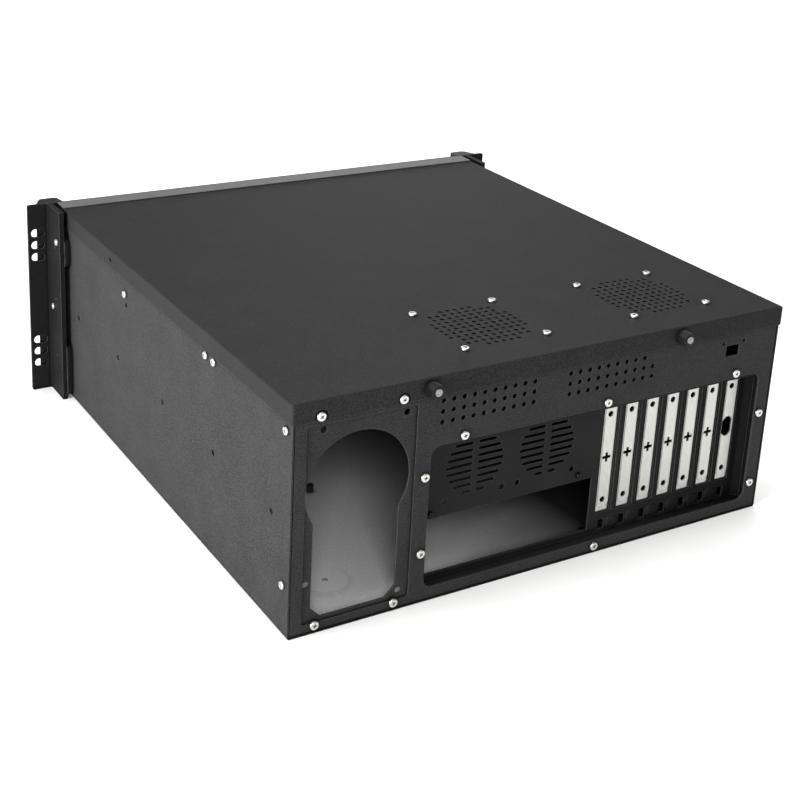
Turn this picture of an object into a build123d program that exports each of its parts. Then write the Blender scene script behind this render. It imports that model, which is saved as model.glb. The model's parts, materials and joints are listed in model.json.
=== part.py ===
import math
import os

from build123d import *

# Empty four-unit rackmount server case, in millimetres. X runs across the case,
# with +X on the left of someone who faces the rear. While the pieces are drawn,
# Y = 0 is the outer face of the rear panel and the front lies at -Y. Z = 0 is
# the underside. The last step centres the whole case on Y.

os.makedirs("parts", exist_ok=True)

# Sheet thicknesses and fits
case_sheet = 1.2
bracket_sheet = 0.9
bend_inside = 1.0
slip_gap = 0.1  # between faces that slide past each other
seat_gap = 0.3  # between the cover and the flanges that it lies over
screw_fit = 0.05  # round a screw's shank, on the radius
running_gap = 0.3  # round a button or a plate that fills a window
head_gap = 0.05  # under a screw's head and a standoff's foot

# Flats that stand for a round outline where it repeats or is small
punch_flats = 8
field_flats = 6
screw_flats = 8
seat_flats = 24

# Case body
body_width = 428.0
wall_top = 174.5
wall_flange = 10.0
body_front = -459.5
cover_top = wall_top + seat_gap + case_sheet
front_proud = 1.0
front_height = cover_top + front_proud
floor_top = case_sheet
wall_outside = body_width / 2
wall_inside = wall_outside - case_sheet
panel_edge = wall_inside - slip_gap
panel_bottom = floor_top + slip_gap

# Foot seats pressed up into the floor
foot_seat_radius = 20.5
foot_seat_rise = 1.5
foot_seat_x = wall_outside - 57.5
foot_seat_y = (-53.0, -405.0)
foot_hole_radius = 2.2

# Holes for the slide rails in the side walls
rail_hole_radius = 2.2
rail_hole_z = 85.0
rail_hole_pitch = 95.2
rail_hole_last_y = -27.8
rail_hole_count = 5
spare_hole_radius = 2.0
spare_hole = (-294.0, 138.4)

# Screws
small_head_radius = 3.0
tiny_head_radius = 2.1
pan_head_radius = 4.0
head_height = 2.0
small_shank_radius = 1.5
pan_shank_radius = 1.95
shank_reach = 4.5

# Side wall screws as (y, z)
rear_flange_screws = ((-8.1, 153.9), (-8.1, 39.1))
hold_down_screws = ((-136.1, 156.9), (-122.2, 156.9))
cage_screw = (-295.2, 147.6)

# Rear panel
rear_flange = 12.0
top_flange_depth = 10.0
vent_hole_radius = 1.95
vent_pitch_x = 8.55
vent_pitch_z = 8.08
vent_columns = 10
vent_rows = 3
vent_top_z = 155.9
vent_first_x = (98.3, -10.5)
service_window = (-174.1, -160.7, 142.1, 151.0)
service_hole_radius = 1.5
service_holes = ((-157.5, 153.2), (-178.4, 153.2))

# Opening for the power supply and the plate behind it, set out from the left wall
psu_x = wall_outside - 51.5
psu_window = (psu_x - 43.7, psu_x + 41.1, 8.5, 157.0)
psu_window_corner = 2.0
psu_plate_margin_x = 2.8
psu_plate_edge_x = wall_outside - 5.0
psu_plate_edges_z = (3.2, 168.5)
psu_screw_half_x = 31.3
psu_screw_z = (163.7, 6.8)
psu_fan_centre = (psu_x + 0.2, 106.3)
psu_fan_radius = 40.3
psu_slot_x = (psu_x - 32.9, psu_x + 33.8)
psu_slot_bottom = 11.6
psu_slot_chamfer = 8.0
psu_hole_radius = 2.5
psu_holes = ((-35.95, 152.8), (28.05, 152.8), (-35.95, 14.8), (38.05, 38.8))
psu_plate_corner = 3.0

# Large opening and the recessed pan behind it
bay_window = (13.8 - wall_outside, wall_outside - 107.8, 10.5, 122.0)
bay_corner = 8.0
bay_middle_x = (bay_window[0] + bay_window[1]) / 2
bay_screw_edges = (4.1, 4.3, 4.3, 4.2)  # off the window's right, left, bottom and top edges
bay_screw_spacing = 126.6
bay_screw_left_z = (100.3, 40.4)
bay_screw_right_z = (86.5, 24.6)
pan_depth = 10.0
pan_slope = 4.8
pan_rim_edge = 8.3
pan_left_x = bay_window[1] + 9.0
pan_top_z = 131.2
pan_lap = 0.5
ledge_top = 121.1
ledge_end_x = bay_window[0] + 158.2
io_window_left = pan_left_x - 3.95
io_window_size = (158.75, 44.45)
io_window_bottom = 14.9
io_screws = ((io_window_left - 13.95, 63.4), (io_window_left - 144.95, 64.5))

# Grilles for 60 mm fans in the pan
grille_x = (pan_left_x - 53.85, pan_left_x - 117.65)
grille_z = 96.0
grille_radius = 24.9
grille_pitch = 5.43
grille_slot_height = 2.4
grille_rows_each_side = 4
grille_bridge = 4.6
grille_hole_spacing = 50.0
grille_hole_radius = 2.25

# Card slots and their covers
slot_count = 7
slot_first_x = bay_window[0] + 139.4
slot_pitch = 20.32
slot_width = 12.8
slot_bottom = 27.0
slot_top = 118.2
slot_tail_width = 10.6
slot_tail_z = (12.8, 21.2)
slot_boss_radius = 5.0
slot_boss_rise = 1.4
slot_boss_taper = 0.55
slot_boss_z = 16.6
slot_rib_width = 0.8
slot_rib_rise = 0.5
cover_width = 18.42
cover_tail_width = 10.2
cover_tail_top = 24.0
cover_tail_bottom = 13.6
cover_hole_radius = 1.5
cover_hole_z = (109.3, 37.3)
cover_mark_z = 73.3
cover_mark_size = (5.0, 1.4)
cover_arc_radii = (6.0, 4.9)
cover_arc_rise = 0.4
cover_port_sides = (-4.48, 5.02)  # from the cover's middle
cover_port_z = (65.6, 82.7)
cover_port_corner = 2.5
cover_tab_end = -3.0
cover_screw_offset = 5.4
cover_screw_y = -7.0

# Motherboard standoffs, on the holes of an ATX board
standoff_height = 6.35
standoff_across_flats = 5.0
standoff_bore = 1.25
standoff_first = (io_window_left - 7.95, -22.6)
standoff_step_x = (0.0, -157.48, -281.94)
standoff_step_y = (0.0, -154.94, -227.33)

# Top cover
cover_side_lip = 15.2
cover_front = -441.0
cover_corner = 1.6
tongue_half_width = wall_outside - 19.0
tongue_length = 8.0
lip_notch_radius = 5.2
lip_slot_centre = (-325.7, 167.0)
lip_slot_size = (6.0, 3.0)

# Perforated fields over the 80 mm fans
field_pitch = 6.55
field_reach = 5
field_limit = 33  # a hole stays where column squared plus row squared is at most this
field_hole_radius = 2.05
field_x = (27.4, -126.0)
field_y = -65.5

# 80 mm fans
fan_size = 80.0
fan_height = 25.0
fan_flange = 4.0
fan_hole_spacing = 71.5
fan_bore_radius = 38.0
fan_tube_wall = 1.5
fan_corner = 4.0
fan_strut_width = 4.0
fan_strut_height = 3.0
fan_motor_radius = 16.0
fan_hub_radius = 17.0
fan_blade_gap = 0.8
fan_blade_count = 7
fan_blade_thickness = 1.4
fan_blade_tilt = 38.0
fan_shaft_radius = 1.5
fan_shaft_gap = 0.05
fan_end_gap = 0.4

# Captive thumbscrews in the cover's rear lip
thumbscrew_x = (110.0, -112.0)
thumbscrew_z = 168.4
knob_radius = 5.8
knob_length = 10.0
knob_flutes = 14
knob_flute_depth = 0.5
thumbscrew_shank_radius = 1.95
thumbscrew_tip_radius = 3.2
thumbscrew_tip_rise = 0.8
thumbscrew_reach = 5.0

# Front frame: the sheet that closes the body behind the front panel
strip_depth = 17.7
frame_flange = 12.0

# Front panel
panel_sheet = 2.0
bay_x = (10.0 - wall_outside, 158.0 - wall_outside)
bay_z = (25.0, 152.5)
bay_count = 3
bay_cover_tab = 18.0
bay_cover_skin = 3.0
bay_cover_groove = 1.0
grating_x = (bay_x[1] + 18.0, wall_outside - 24.0)
grating_z = (22.0, 112.0)
grating_pitch = 11.5
grating_slot_width = 5.0
grating_border = 5.0
button_z = 140.0
power_x = wall_outside - 46.0
power_radius = 7.0
reset_x = power_x - 24.0
reset_radius = 3.0
button_proud = 2.0
button_collar = 1.2
button_collar_depth = 1.4
button_stem = 6.0
lens_x = (reset_x - 18.0, reset_x - 30.0)
lens_radius = 1.5
lens_length = 4.0
lens_proud = 0.5
socket_x = (reset_x - 54.0, reset_x - 78.0)
socket_size = (13.5, 6.0)

# Front columns and rack ears
column_base_x = (wall_outside - 6.0, wall_outside + 19.0)
column_front_x = (wall_outside - 4.0, wall_outside + 12.0)
column_depth = 13.5
column_round = 3.0
ear_edge_x = wall_outside + 27.3
ear_flange_x = (wall_outside + 5.0, wall_outside + 9.2)
ear_flange_rear = body_front + 31.0
ear_slot_x = ear_edge_x - 8.75
ear_slot_size = (12.0, 7.6)
ear_slot_centres = (37.7, 139.3)
ear_slot_step = 11.2
ear_corner = 2.0
ear_tabs = ((4.0, 52.0), (126.0, 152.0))
ear_tab_y = (-455.0, -426.5)
ear_tab_round = 6.0
ear_screws = ((-434.5, 148.7), (-448.0, 84.3))
ear_holes = ((-434.5, 140.7), (-436.0, 28.5))
ear_rivets = ((-442.0, 141.5), (-442.0, 92.5), (-442.0, 38.8))
ear_hole_radius = 1.7
rivet_radius = 1.5
rivet_height = 0.6

# Drive cages and the bar that holds cards down
cage_sheet = 1.0
cage_front = -455.0
cage_rear = -290.0
cage_floor_z = 22.0
cage_top_z = 155.0
cage_flange = 8.0
disk_cage_x = (wall_outside - 118.0, wall_outside - 14.0)
disk_cage_y = (-382.0, -290.0)
disk_cage_top = 152.0
cage_hole_radius = 1.8
cage_hole_step = 79.2
cage_hole_first = 50.0
cage_hole_rise = 10.0
disk_count = 3
disk_pitch = 44.0
disk_hole_rise = 20.0
disk_hole_inset = 16.0
bar_y = (-143.0, -115.0)
bar_z = (149.0, 163.0)
bar_sheet = 1.5


def block(x0, x1, y0, y1, z0, z1):
    centre = Pos((x0 + x1) / 2, (y0 + y1) / 2, (z0 + z1) / 2)
    return centre * Box(abs(x1 - x0), abs(y1 - y0), abs(z1 - z0))


def punch(radius, flats=punch_flats):
    # A punched hole in a sketch: its flats touch the circle that must pass
    return RegularPolygon(radius, flats, major_radius=False, rotation=180 / flats)


def slot_punch(length, height):
    # A slot in a sketch, with three flats round each end
    shape = Rectangle(length, height)
    return chamfer(shape.vertices(), height * (1 - math.sqrt(0.5)))


def stub(radius, z0, z1, flats=screw_flats):
    # A short upright rod with flats, inside the circle of its radius
    return Pos(0, 0, z0) * extrude(RegularPolygon(radius, flats), amount=z1 - z0)


def punch_x(y, z, radius, x0, x1):
    return Pos(x0, y, z) * Rot(0, 90, 0) * extrude(punch(radius), amount=x1 - x0)


def punch_z(x, y, radius, z0, z1):
    return Pos(x, y, z0) * extrude(punch(radius), amount=z1 - z0)


def rod_z(x, y, radius, z0, z1):
    return Pos(x, y, (z0 + z1) / 2) * Cylinder(radius, abs(z1 - z0))


def flat(x0, x1, z0, z1, corner=0.0):
    # A rectangle in a sketch whose axes are X and Z
    width = x1 - x0
    height = z1 - z0
    shape = RectangleRounded(width, height, corner) if corner else Rectangle(width, height)
    return Pos((x0 + x1) / 2, (z0 + z1) / 2) * shape


def upright(sketch, outer_y, thickness):
    # A sheet that stands across the case, its rear face at outer_y
    return extrude(Plane.XZ.offset(-outer_y) * sketch, amount=thickness)


def mirrored(shape):
    return mirror(shape, about=Plane.YZ)


def screw(head_radius, shank_radius, reach=shank_reach):
    # Head on +Z above the seat at the origin, shank below
    return stub(head_radius, head_gap, head_gap + head_height) + stub(shank_radius, -reach, head_gap)


def screw_rear(x, z, seat_y, head_radius=pan_head_radius, shank_radius=pan_shank_radius):
    return Pos(x, seat_y, z) * Rot(-90, 0, 0) * screw(head_radius, shank_radius)


def screw_side(y, z, seat_x, sign):
    return Pos(sign * seat_x, y, z) * Rot(0, sign * 90, 0) * screw(small_head_radius, small_shank_radius)


def vent_holes():
    # The first rear field is whole, the second lacks the last hole of its top row
    spots = []
    for field, first_x in enumerate(vent_first_x):
        for column in range(vent_columns):
            for row in range(vent_rows):
                if field == 1 and row == 0 and column == vent_columns - 1:
                    continue
                spots.append((first_x - column * vent_pitch_x, vent_top_z - row * vent_pitch_z))
    return spots


def bay_screw_spots():
    right, left, bottom, top = bay_window
    off_right, off_left, off_bottom, off_top = bay_screw_edges
    across = [bay_middle_x + step * bay_screw_spacing for step in (-1, 0, 1)]
    spots = [(x, top + off_top) for x in across]
    spots += [(left + off_left, z) for z in bay_screw_left_z]
    spots += [(right - off_right, z) for z in bay_screw_right_z]
    return spots + [(bay_middle_x, bottom - off_bottom)]


def psu_screw_spots():
    return [(psu_x + side * psu_screw_half_x, z) for side in (-1, 1) for z in psu_screw_z]


def rail_hole_spots():
    return [(rail_hole_last_y - step * rail_hole_pitch, rail_hole_z) for step in range(rail_hole_count)]


def fan_screw_spots():
    half = fan_hole_spacing / 2
    return [(x + i * half, field_y + j * half) for x in field_x for i in (-1, 1) for j in (-1, 1)]


def slot_centres():
    return [slot_first_x - step * slot_pitch for step in range(slot_count)]


def chassis_tray():
    outline = Pos(0, wall_top / 2) * RectangleRounded(body_width, wall_top, bend_inside + case_sheet)
    hollow = Pos(0, wall_top / 2) * RectangleRounded(
        body_width - 2 * case_sheet, wall_top - 2 * case_sheet, bend_inside
    )
    mouth = flat(-wall_inside + wall_flange, wall_inside - wall_flange, wall_top / 2, wall_top + 1)
    tray = upright(outline - hollow - mouth, 0, -body_front)
    for x in (-foot_seat_x, foot_seat_x):
        for y in foot_seat_y:
            seat = Pos(x, y, 0)
            tray += seat * stub(foot_seat_radius, 0, foot_seat_rise + case_sheet, seat_flats)
            tray -= seat * stub(foot_seat_radius - case_sheet, 0, foot_seat_rise, seat_flats)
            tray -= punch_z(x, y, foot_hole_radius, 0, foot_seat_rise + case_sheet)
    across = (-wall_outside, wall_outside)
    holes = [punch_x(y, z, rail_hole_radius, *across) for y, z in rail_hole_spots()]
    holes.append(punch_x(*spare_hole, spare_hole_radius, *across))
    for y, z in rear_flange_screws + hold_down_screws + (cage_screw, ear_screws[0]):
        holes.append(punch_x(y, z, small_shank_radius + screw_fit, *across))
    return tray - holes


def corner_reliefs(front, rear):
    # Room for the tray's bends and for the top flanges of its side walls
    under_flange = wall_top - case_sheet - slip_gap
    bend_edge = panel_edge - bend_inside
    flange_edge = panel_edge - wall_flange - slip_gap
    corners = [
        block(bend_edge, panel_edge, front, rear, panel_bottom, panel_bottom + bend_inside),
        block(bend_edge, panel_edge, front, rear, under_flange - bend_inside, under_flange),
        block(flange_edge, panel_edge, front, rear, under_flange, wall_top + slip_gap),
    ]
    return corners + [mirrored(corner) for corner in corners]


def rear_panel():
    sheet = flat(-panel_edge, panel_edge, panel_bottom, wall_top)
    sheet -= flat(*bay_window, bay_corner)
    sheet -= flat(*psu_window, psu_window_corner)
    sheet -= flat(*service_window)
    sheet -= [Pos(x, z) * punch(vent_hole_radius) for x, z in vent_holes()]
    sheet -= [Pos(x, z) * punch(service_hole_radius) for x, z in service_holes]
    screw_spots = bay_screw_spots() + psu_screw_spots()
    sheet -= [Pos(x, z) * punch(pan_shank_radius + screw_fit) for x, z in screw_spots]
    sheet -= [Pos(x, thumbscrew_z) * punch(thumbscrew_shank_radius + screw_fit) for x in thumbscrew_x]
    panel = upright(sheet, 0, case_sheet)
    top_flange = -top_flange_depth - case_sheet
    panel += block(-panel_edge, panel_edge, top_flange, 0, wall_top - case_sheet, wall_top)
    panel += block(-panel_edge, panel_edge, -rear_flange, 0, panel_bottom, panel_bottom + case_sheet)
    inner = panel_edge - case_sheet
    low = panel_bottom + case_sheet
    side = block(inner, panel_edge, -rear_flange, 0, low, wall_top - case_sheet)
    panel += [side, mirrored(side)]
    across = (-panel_edge, panel_edge)
    shank = small_shank_radius + screw_fit
    flange_holes = [punch_x(y, z, shank, *across) for y, z in rear_flange_screws]
    return panel - flange_holes - corner_reliefs(-rear_flange, 0)


def psu_plate():
    low, high = psu_plate_edges_z
    sheet = flat(psu_window[0] - psu_plate_margin_x, psu_plate_edge_x, low, high, psu_plate_corner)
    slot = flat(*psu_slot_x, psu_slot_bottom, psu_fan_centre[1])
    slot = chamfer(slot.vertices().group_by(Axis.Y)[0], psu_slot_chamfer)
    sheet -= slot + Pos(*psu_fan_centre) * Circle(psu_fan_radius)
    sheet -= [Pos(psu_x + x, z) * Circle(psu_hole_radius) for x, z in psu_holes]
    sheet -= [Pos(x, z) * punch(pan_shank_radius + screw_fit) for x, z in psu_screw_spots()]
    return upright(sheet, -case_sheet, case_sheet)


def grille_sketch(centre_x):
    slots = []
    for row in range(-grille_rows_each_side, grille_rows_each_side + 1):
        rise = row * grille_pitch
        edge = abs(rise) + grille_slot_height / 2
        half = math.sqrt(grille_radius**2 - edge**2)
        length = half - grille_bridge / 2
        for side in (-1, 1):
            x = centre_x + side * (half + grille_bridge / 2) / 2
            slots.append(Pos(x, grille_z + rise) * slot_punch(length, grille_slot_height))
    reach = grille_hole_spacing / 2
    for i in (-1, 1):
        for j in (-1, 1):
            spot = Pos(centre_x + i * reach, grille_z + j * reach)
            slots.append(spot * Circle(grille_hole_radius))
    return slots


def io_panel():
    left, right = pan_left_x, bay_window[0] - case_sheet
    bottom = bay_window[2] - case_sheet
    back = -pan_depth - case_sheet
    front = -case_sheet
    window_width, window_height = io_window_size
    window_top = io_window_bottom + window_height
    face = flat(ledge_end_x - case_sheet, left, bottom, pan_top_z)
    face += flat(right + pan_slope, left, bottom, ledge_top)
    face -= flat(io_window_left - window_width, io_window_left, io_window_bottom, window_top)
    for x in grille_x:
        face -= grille_sketch(x)
    for x in slot_centres():
        face -= flat(x - slot_width / 2, x + slot_width / 2, slot_bottom, slot_top)
        face -= flat(x - slot_tail_width / 2, x + slot_tail_width / 2, *slot_tail_z)
    face -= [Pos(x, z) * punch(small_shank_radius + screw_fit) for x, z in io_screws]
    pan = upright(face, -pan_depth, case_sheet)

    # Walls of the recess: bottom shelf, left wall, top wall, step and the ledge of the slot covers
    pan += block(right, left, back, front, bottom, bottom + case_sheet)
    pan += block(left - case_sheet, left, back, front, bottom, pan_top_z)
    pan += block(ledge_end_x - case_sheet, left, back, front, pan_top_z - case_sheet, pan_top_z)
    pan += block(ledge_end_x - case_sheet, ledge_end_x, back, front, ledge_top - case_sheet, pan_top_z)
    pan += block(right, ledge_end_x, back, front, ledge_top - case_sheet, ledge_top)

    # The right wall slopes into the face
    lean = case_sheet * (math.sqrt(2) - 1)
    wall = Polyline(
        (right + case_sheet, front),
        (right + case_sheet, -pan_depth + pan_slope),
        (right + case_sheet + pan_slope, -pan_depth),
        (right + case_sheet + pan_slope, back),
        (right + case_sheet + pan_slope - lean, back),
        (right, -pan_depth + pan_slope - lean),
        (right, front),
        close=True,
    )
    pan += Pos(0, 0, bottom) * extrude(make_face(wall), amount=ledge_top - bottom)

    # The rim lies flat behind the rear panel
    rim = flat(right + case_sheet - pan_rim_edge, left, panel_bottom + 2 * case_sheet, pan_top_z)
    rim -= flat(bay_window[0], bay_window[1] + pan_lap, bay_window[2], ledge_top)
    rim -= flat(ledge_end_x, bay_window[1] + pan_lap, bay_window[2], bay_window[3] + pan_lap)
    rim -= [Pos(x, z) * punch(pan_shank_radius + screw_fit) for x, z in bay_screw_spots()]
    pan += upright(rim, front, case_sheet)

    # Round bosses and fold ribs between the slots
    for x in slot_centres():
        between = x - slot_pitch / 2
        boss = Pos(between, -pan_depth, slot_boss_z) * Rot(-90, 0, 0)
        if x > slot_centres()[-1]:
            pan += boss * loft([
                RegularPolygon(slot_boss_radius, 2 * punch_flats),
                Pos(0, 0, slot_boss_rise) * RegularPolygon(slot_boss_radius * slot_boss_taper, 2 * punch_flats),
            ])
            rib = block(between - slot_rib_width / 2, between + slot_rib_width / 2, -pan_depth,
                        -pan_depth + slot_rib_rise, slot_bottom, slot_top)
            pan += rib
    ledge_holes = [
        punch_z(x + cover_screw_offset, cover_screw_y, small_shank_radius + screw_fit,
                ledge_top - case_sheet, ledge_top)
        for x in slot_centres()
    ]
    return pan - ledge_holes


def slot_cover(x, has_port):
    outer = -pan_depth - case_sheet
    half = cover_width / 2
    blank = flat(x - half, x + half, cover_tail_top, ledge_top + bracket_sheet)
    blank += flat(x - cover_tail_width / 2, x + cover_tail_width / 2, cover_tail_bottom, cover_tail_top)
    blank -= [Pos(x, z) * punch(cover_hole_radius) for z in cover_hole_z]
    if has_port:
        right, left = cover_port_sides
        blank -= flat(x + right, x + left, *cover_port_z, cover_port_corner)
    else:
        long, short = cover_mark_size
        blank -= Pos(x, cover_mark_z) * (Rectangle(long, short) + Rectangle(short, long))
    cover = upright(blank, outer, bracket_sheet)
    cover += block(x - half, x + half, outer, cover_tab_end, ledge_top, ledge_top + bracket_sheet)
    screw_at = (x + cover_screw_offset, cover_screw_y)
    through = (ledge_top, ledge_top + bracket_sheet)
    cover -= punch_z(*screw_at, small_shank_radius + screw_fit, *through)
    wide, narrow = cover_arc_radii
    arc = RegularPolygon(wide, 2 * punch_flats) - RegularPolygon(narrow, 2 * punch_flats)
    arc -= Pos(0, -wide) * Rectangle(2 * wide, 2 * wide)
    raised = Plane.XZ.offset(-outer) * (Pos(x, cover_hole_z[1]) * Rot(0, 0, 90) * arc)
    return cover + extrude(raised, amount=-cover_arc_rise)


def field_prisms(centre_x):
    holes = []
    for column in range(-field_reach, field_reach + 1):
        for row in range(-field_reach, field_reach + 1):
            if column**2 + row**2 <= field_limit:
                spot = Pos(centre_x + column * field_pitch, field_y + row * field_pitch)
                holes.append(spot * RegularPolygon(field_hole_radius, field_flats))
    return holes


def top_cover():
    side = wall_outside + slip_gap + case_sheet
    rear = slip_gap + case_sheet
    lip_bottom = cover_top - cover_side_lip
    body = block(-side, side, cover_front, rear, lip_bottom, cover_top)
    long_edges = body.edges().filter_by(Axis.Y).group_by(Axis.Z)[-1]
    rear_edges = body.edges().filter_by(Axis.X).group_by(Axis.Z)[-1].sort_by(Axis.Y)[-1:]
    corner_edges = body.edges().filter_by(Axis.Z).group_by(Axis.Y)[-1]
    body = fillet(long_edges + rear_edges + corner_edges, cover_corner)
    inside = side - case_sheet
    body -= block(-inside, inside, cover_front, slip_gap, lip_bottom, cover_top - case_sheet)

    # Front tongue, one sheet lower, that lies under the front frame's strip
    low = cover_top - 2 * case_sheet
    across = (-tongue_half_width, tongue_half_width)
    inner_y = cover_front + case_sheet
    body += block(*across, cover_front, inner_y, low, cover_top - case_sheet / 2)
    body += block(*across, cover_front - tongue_length, inner_y, low, low + case_sheet)

    # Rounded notches round the two upper screws of the power supply plate
    for x, z in psu_screw_spots():
        if z > lip_bottom:
            notch = RegularPolygon(lip_notch_radius, 2 * punch_flats)
            body -= upright(Pos(x, z) * notch, rear, rear)
            body -= block(x - lip_notch_radius, x + lip_notch_radius, 0, rear, lip_bottom, z)
    body -= [upright(Pos(x, thumbscrew_z) * punch(thumbscrew_shank_radius + screw_fit), rear, rear)
             for x in thumbscrew_x]
    slot_y, slot_z = lip_slot_centre
    slot = Rot(0, 90, 0) * Rot(0, 0, 90) * extrude(slot_punch(*lip_slot_size), 2 * side)
    body -= Pos(-side, slot_y, slot_z) * slot

    # Perforated fields and the holes of the fan screws
    sheet = Pos(0, 0, cover_top - case_sheet)
    for x in field_x:
        body -= sheet * extrude(Sketch() + field_prisms(x), amount=case_sheet)
    shank = pan_shank_radius + screw_fit
    return body - [punch_z(x, y, shank, cover_top - case_sheet, cover_top) for x, y in fan_screw_spots()]


def fan_frame(x):
    top = cover_top - case_sheet
    square = Rectangle(fan_size, fan_size)
    square = chamfer(square.vertices(), fan_corner) - punch(fan_bore_radius, seat_flats)
    half = fan_hole_spacing / 2
    bore = pan_shank_radius + screw_fit
    square -= [Pos(i * half, j * half) * punch(bore) for i in (-1, 1) for j in (-1, 1)]
    frame = Pos(0, 0, top - fan_height) * extrude(square, amount=fan_height)
    # Waist between the two mounting flanges
    outer = fan_bore_radius + fan_tube_wall
    waist = Rectangle(fan_size + 2, fan_size + 2) - RegularPolygon(outer + 1, seat_flats, rotation=180 / seat_flats)
    frame -= Pos(0, 0, top - fan_height + fan_flange) * extrude(waist, amount=fan_height - 2 * fan_flange)
    strut = Box(2 * fan_bore_radius + 1, fan_strut_width, fan_strut_height)
    for angle in (45, 135):
        frame += Pos(0, 0, top - fan_strut_height / 2) * Rot(0, 0, angle) * strut
    frame += stub(fan_motor_radius, top - fan_strut_height, top, 2 * punch_flats)
    frame -= rod_z(0, 0, fan_shaft_radius + fan_shaft_gap, top - fan_strut_height, top)
    return Pos(x, field_y, 0) * frame


def fan_rotor(x):
    top = cover_top - case_sheet - fan_strut_height - fan_end_gap
    bottom = cover_top - case_sheet - fan_height + fan_end_gap
    tilt = math.radians(fan_blade_tilt)
    thickness = fan_blade_thickness
    width = (top - bottom - thickness * math.sin(tilt)) / math.cos(tilt) - fan_end_gap
    lean = (width * math.sin(tilt) + thickness) / 2
    tip = math.sqrt((fan_bore_radius - fan_blade_gap) ** 2 - lean**2)
    root = fan_hub_radius / 2
    rotor = stub(fan_hub_radius, bottom, top, 2 * punch_flats)
    for turn in range(fan_blade_count):
        blade = Pos((root + tip) / 2, 0, (top + bottom) / 2) * Rot(fan_blade_tilt, 0, 0)
        rotor += Rot(0, 0, turn * 360 / fan_blade_count) * blade * Box(tip - root, thickness, width)
    rotor += rod_z(0, 0, fan_shaft_radius, top, cover_top - case_sheet - fan_end_gap)
    return Pos(x, field_y, 0) * rotor


def thumbscrew_knob(x):
    seat = slip_gap + case_sheet
    points = []
    for step in range(2 * knob_flutes):
        radius = knob_radius - (step % 2) * knob_flute_depth
        angle = math.pi * step / knob_flutes
        points.append((radius * math.cos(angle), radius * math.sin(angle)))
    grip = make_face(Polyline(*points, close=True)) - punch(thumbscrew_shank_radius)
    knob = extrude(grip, amount=knob_length)
    dish = Pos(0, 0, knob_length - thumbscrew_tip_rise) * extrude(punch(thumbscrew_tip_radius), amount=2)
    return Pos(x, seat, thumbscrew_z) * Rot(-90, 0, 0) * (knob - dish)


def thumbscrew_screw(x):
    seat = slip_gap + case_sheet
    end = seat + knob_length
    pin = stub(thumbscrew_shank_radius, -thumbscrew_reach, end)
    pin += stub(thumbscrew_tip_radius, end - thumbscrew_tip_rise, end + thumbscrew_tip_rise)
    return Pos(x, 0, thumbscrew_z) * Rot(-90, 0, 0) * pin


def front_frame():
    sheet = flat(-panel_edge, panel_edge, panel_bottom, front_height)
    sheet -= flat(*bay_x, *bay_z)
    sheet -= flat(*grating_x, *grating_z)
    collar = power_radius + button_collar + running_gap
    control_window = (min(socket_x) - socket_size[0], power_x + collar)
    sheet -= flat(*control_window, button_z - collar, button_z + collar)
    frame = upright(sheet, body_front + case_sheet, case_sheet)
    strip = (body_front, body_front + strip_depth)
    strip_heights = (front_height - case_sheet, front_height)
    frame += block(-wall_outside, wall_outside, *strip, *strip_heights)
    rear = body_front + frame_flange
    frame += block(-panel_edge, panel_edge, body_front, rear, panel_bottom, panel_bottom + case_sheet)
    top = wall_top - case_sheet - slip_gap
    side = block(panel_edge - case_sheet, panel_edge, body_front, rear, panel_bottom, top)
    frame += [side, mirrored(side)]
    return frame - corner_reliefs(body_front, rear)


def grating_slots():
    count = int((grating_x[1] - grating_x[0]) / grating_pitch)
    start = (grating_x[0] + grating_x[1] - (count - 1) * grating_pitch) / 2
    length = grating_z[1] - grating_z[0] - 2 * grating_border
    middle = (grating_z[0] + grating_z[1]) / 2
    slot = Rot(0, 0, 90) * slot_punch(length, grating_slot_width)
    return [Pos(start + column * grating_pitch, middle) * slot for column in range(count)]


def front_panel():
    edge = ear_flange_x[0] - slip_gap
    sheet = flat(-edge, edge, 0, front_height)
    sheet -= flat(*bay_x, *bay_z)
    sheet -= grating_slots()
    sheet -= Pos(power_x, button_z) * punch(power_radius + running_gap, seat_flats)
    sheet -= Pos(reset_x, button_z) * punch(reset_radius + running_gap, 2 * punch_flats)
    sheet -= [Pos(x, button_z) * punch(lens_radius + screw_fit) for x in lens_x]
    sheet -= [Pos(x, button_z) * Rectangle(*socket_size) for x in socket_x]
    return upright(sheet, body_front, panel_sheet)


def bay_cover(index):
    height = (bay_z[1] - bay_z[0]) / bay_count
    low = bay_z[0] + index * height + running_gap
    high = bay_z[0] + (index + 1) * height - running_gap
    left, right = bay_x[0] + running_gap, bay_x[1] - running_gap
    outer = body_front - panel_sheet
    cover = block(left, right, outer, outer + bay_cover_skin, low, high)
    middle = (low + high) / 2
    groove = bay_cover_groove
    for offset in (-height / 4, height / 4):
        line = middle + offset
        cover -= block(left, right, outer, outer + groove / 2, line - groove, line + groove)
    tab_heights = (middle - height / 4, middle + height / 4)
    for x in (left, right - case_sheet):
        tab = (outer + bay_cover_skin, body_front + bay_cover_tab)
        cover += block(x, x + case_sheet, *tab, *tab_heights)
    return cover


def button(x, radius, flats):
    # Pushed in along +Y; the collar keeps it behind the panel
    outer = body_front - panel_sheet - button_proud
    behind = body_front + seat_gap
    knob = stub(radius, outer, behind, flats)
    knob += stub(radius + button_collar, behind, behind + button_collar_depth, flats)
    knob += stub(radius / 2, behind + button_collar_depth, behind + button_stem)
    return Pos(x, 0, button_z) * Rot(-90, 0, 0) * knob


def lens(x):
    outer = body_front - panel_sheet - lens_proud
    return Pos(x, 0, button_z) * Rot(-90, 0, 0) * stub(lens_radius, outer, outer + lens_length)


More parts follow.
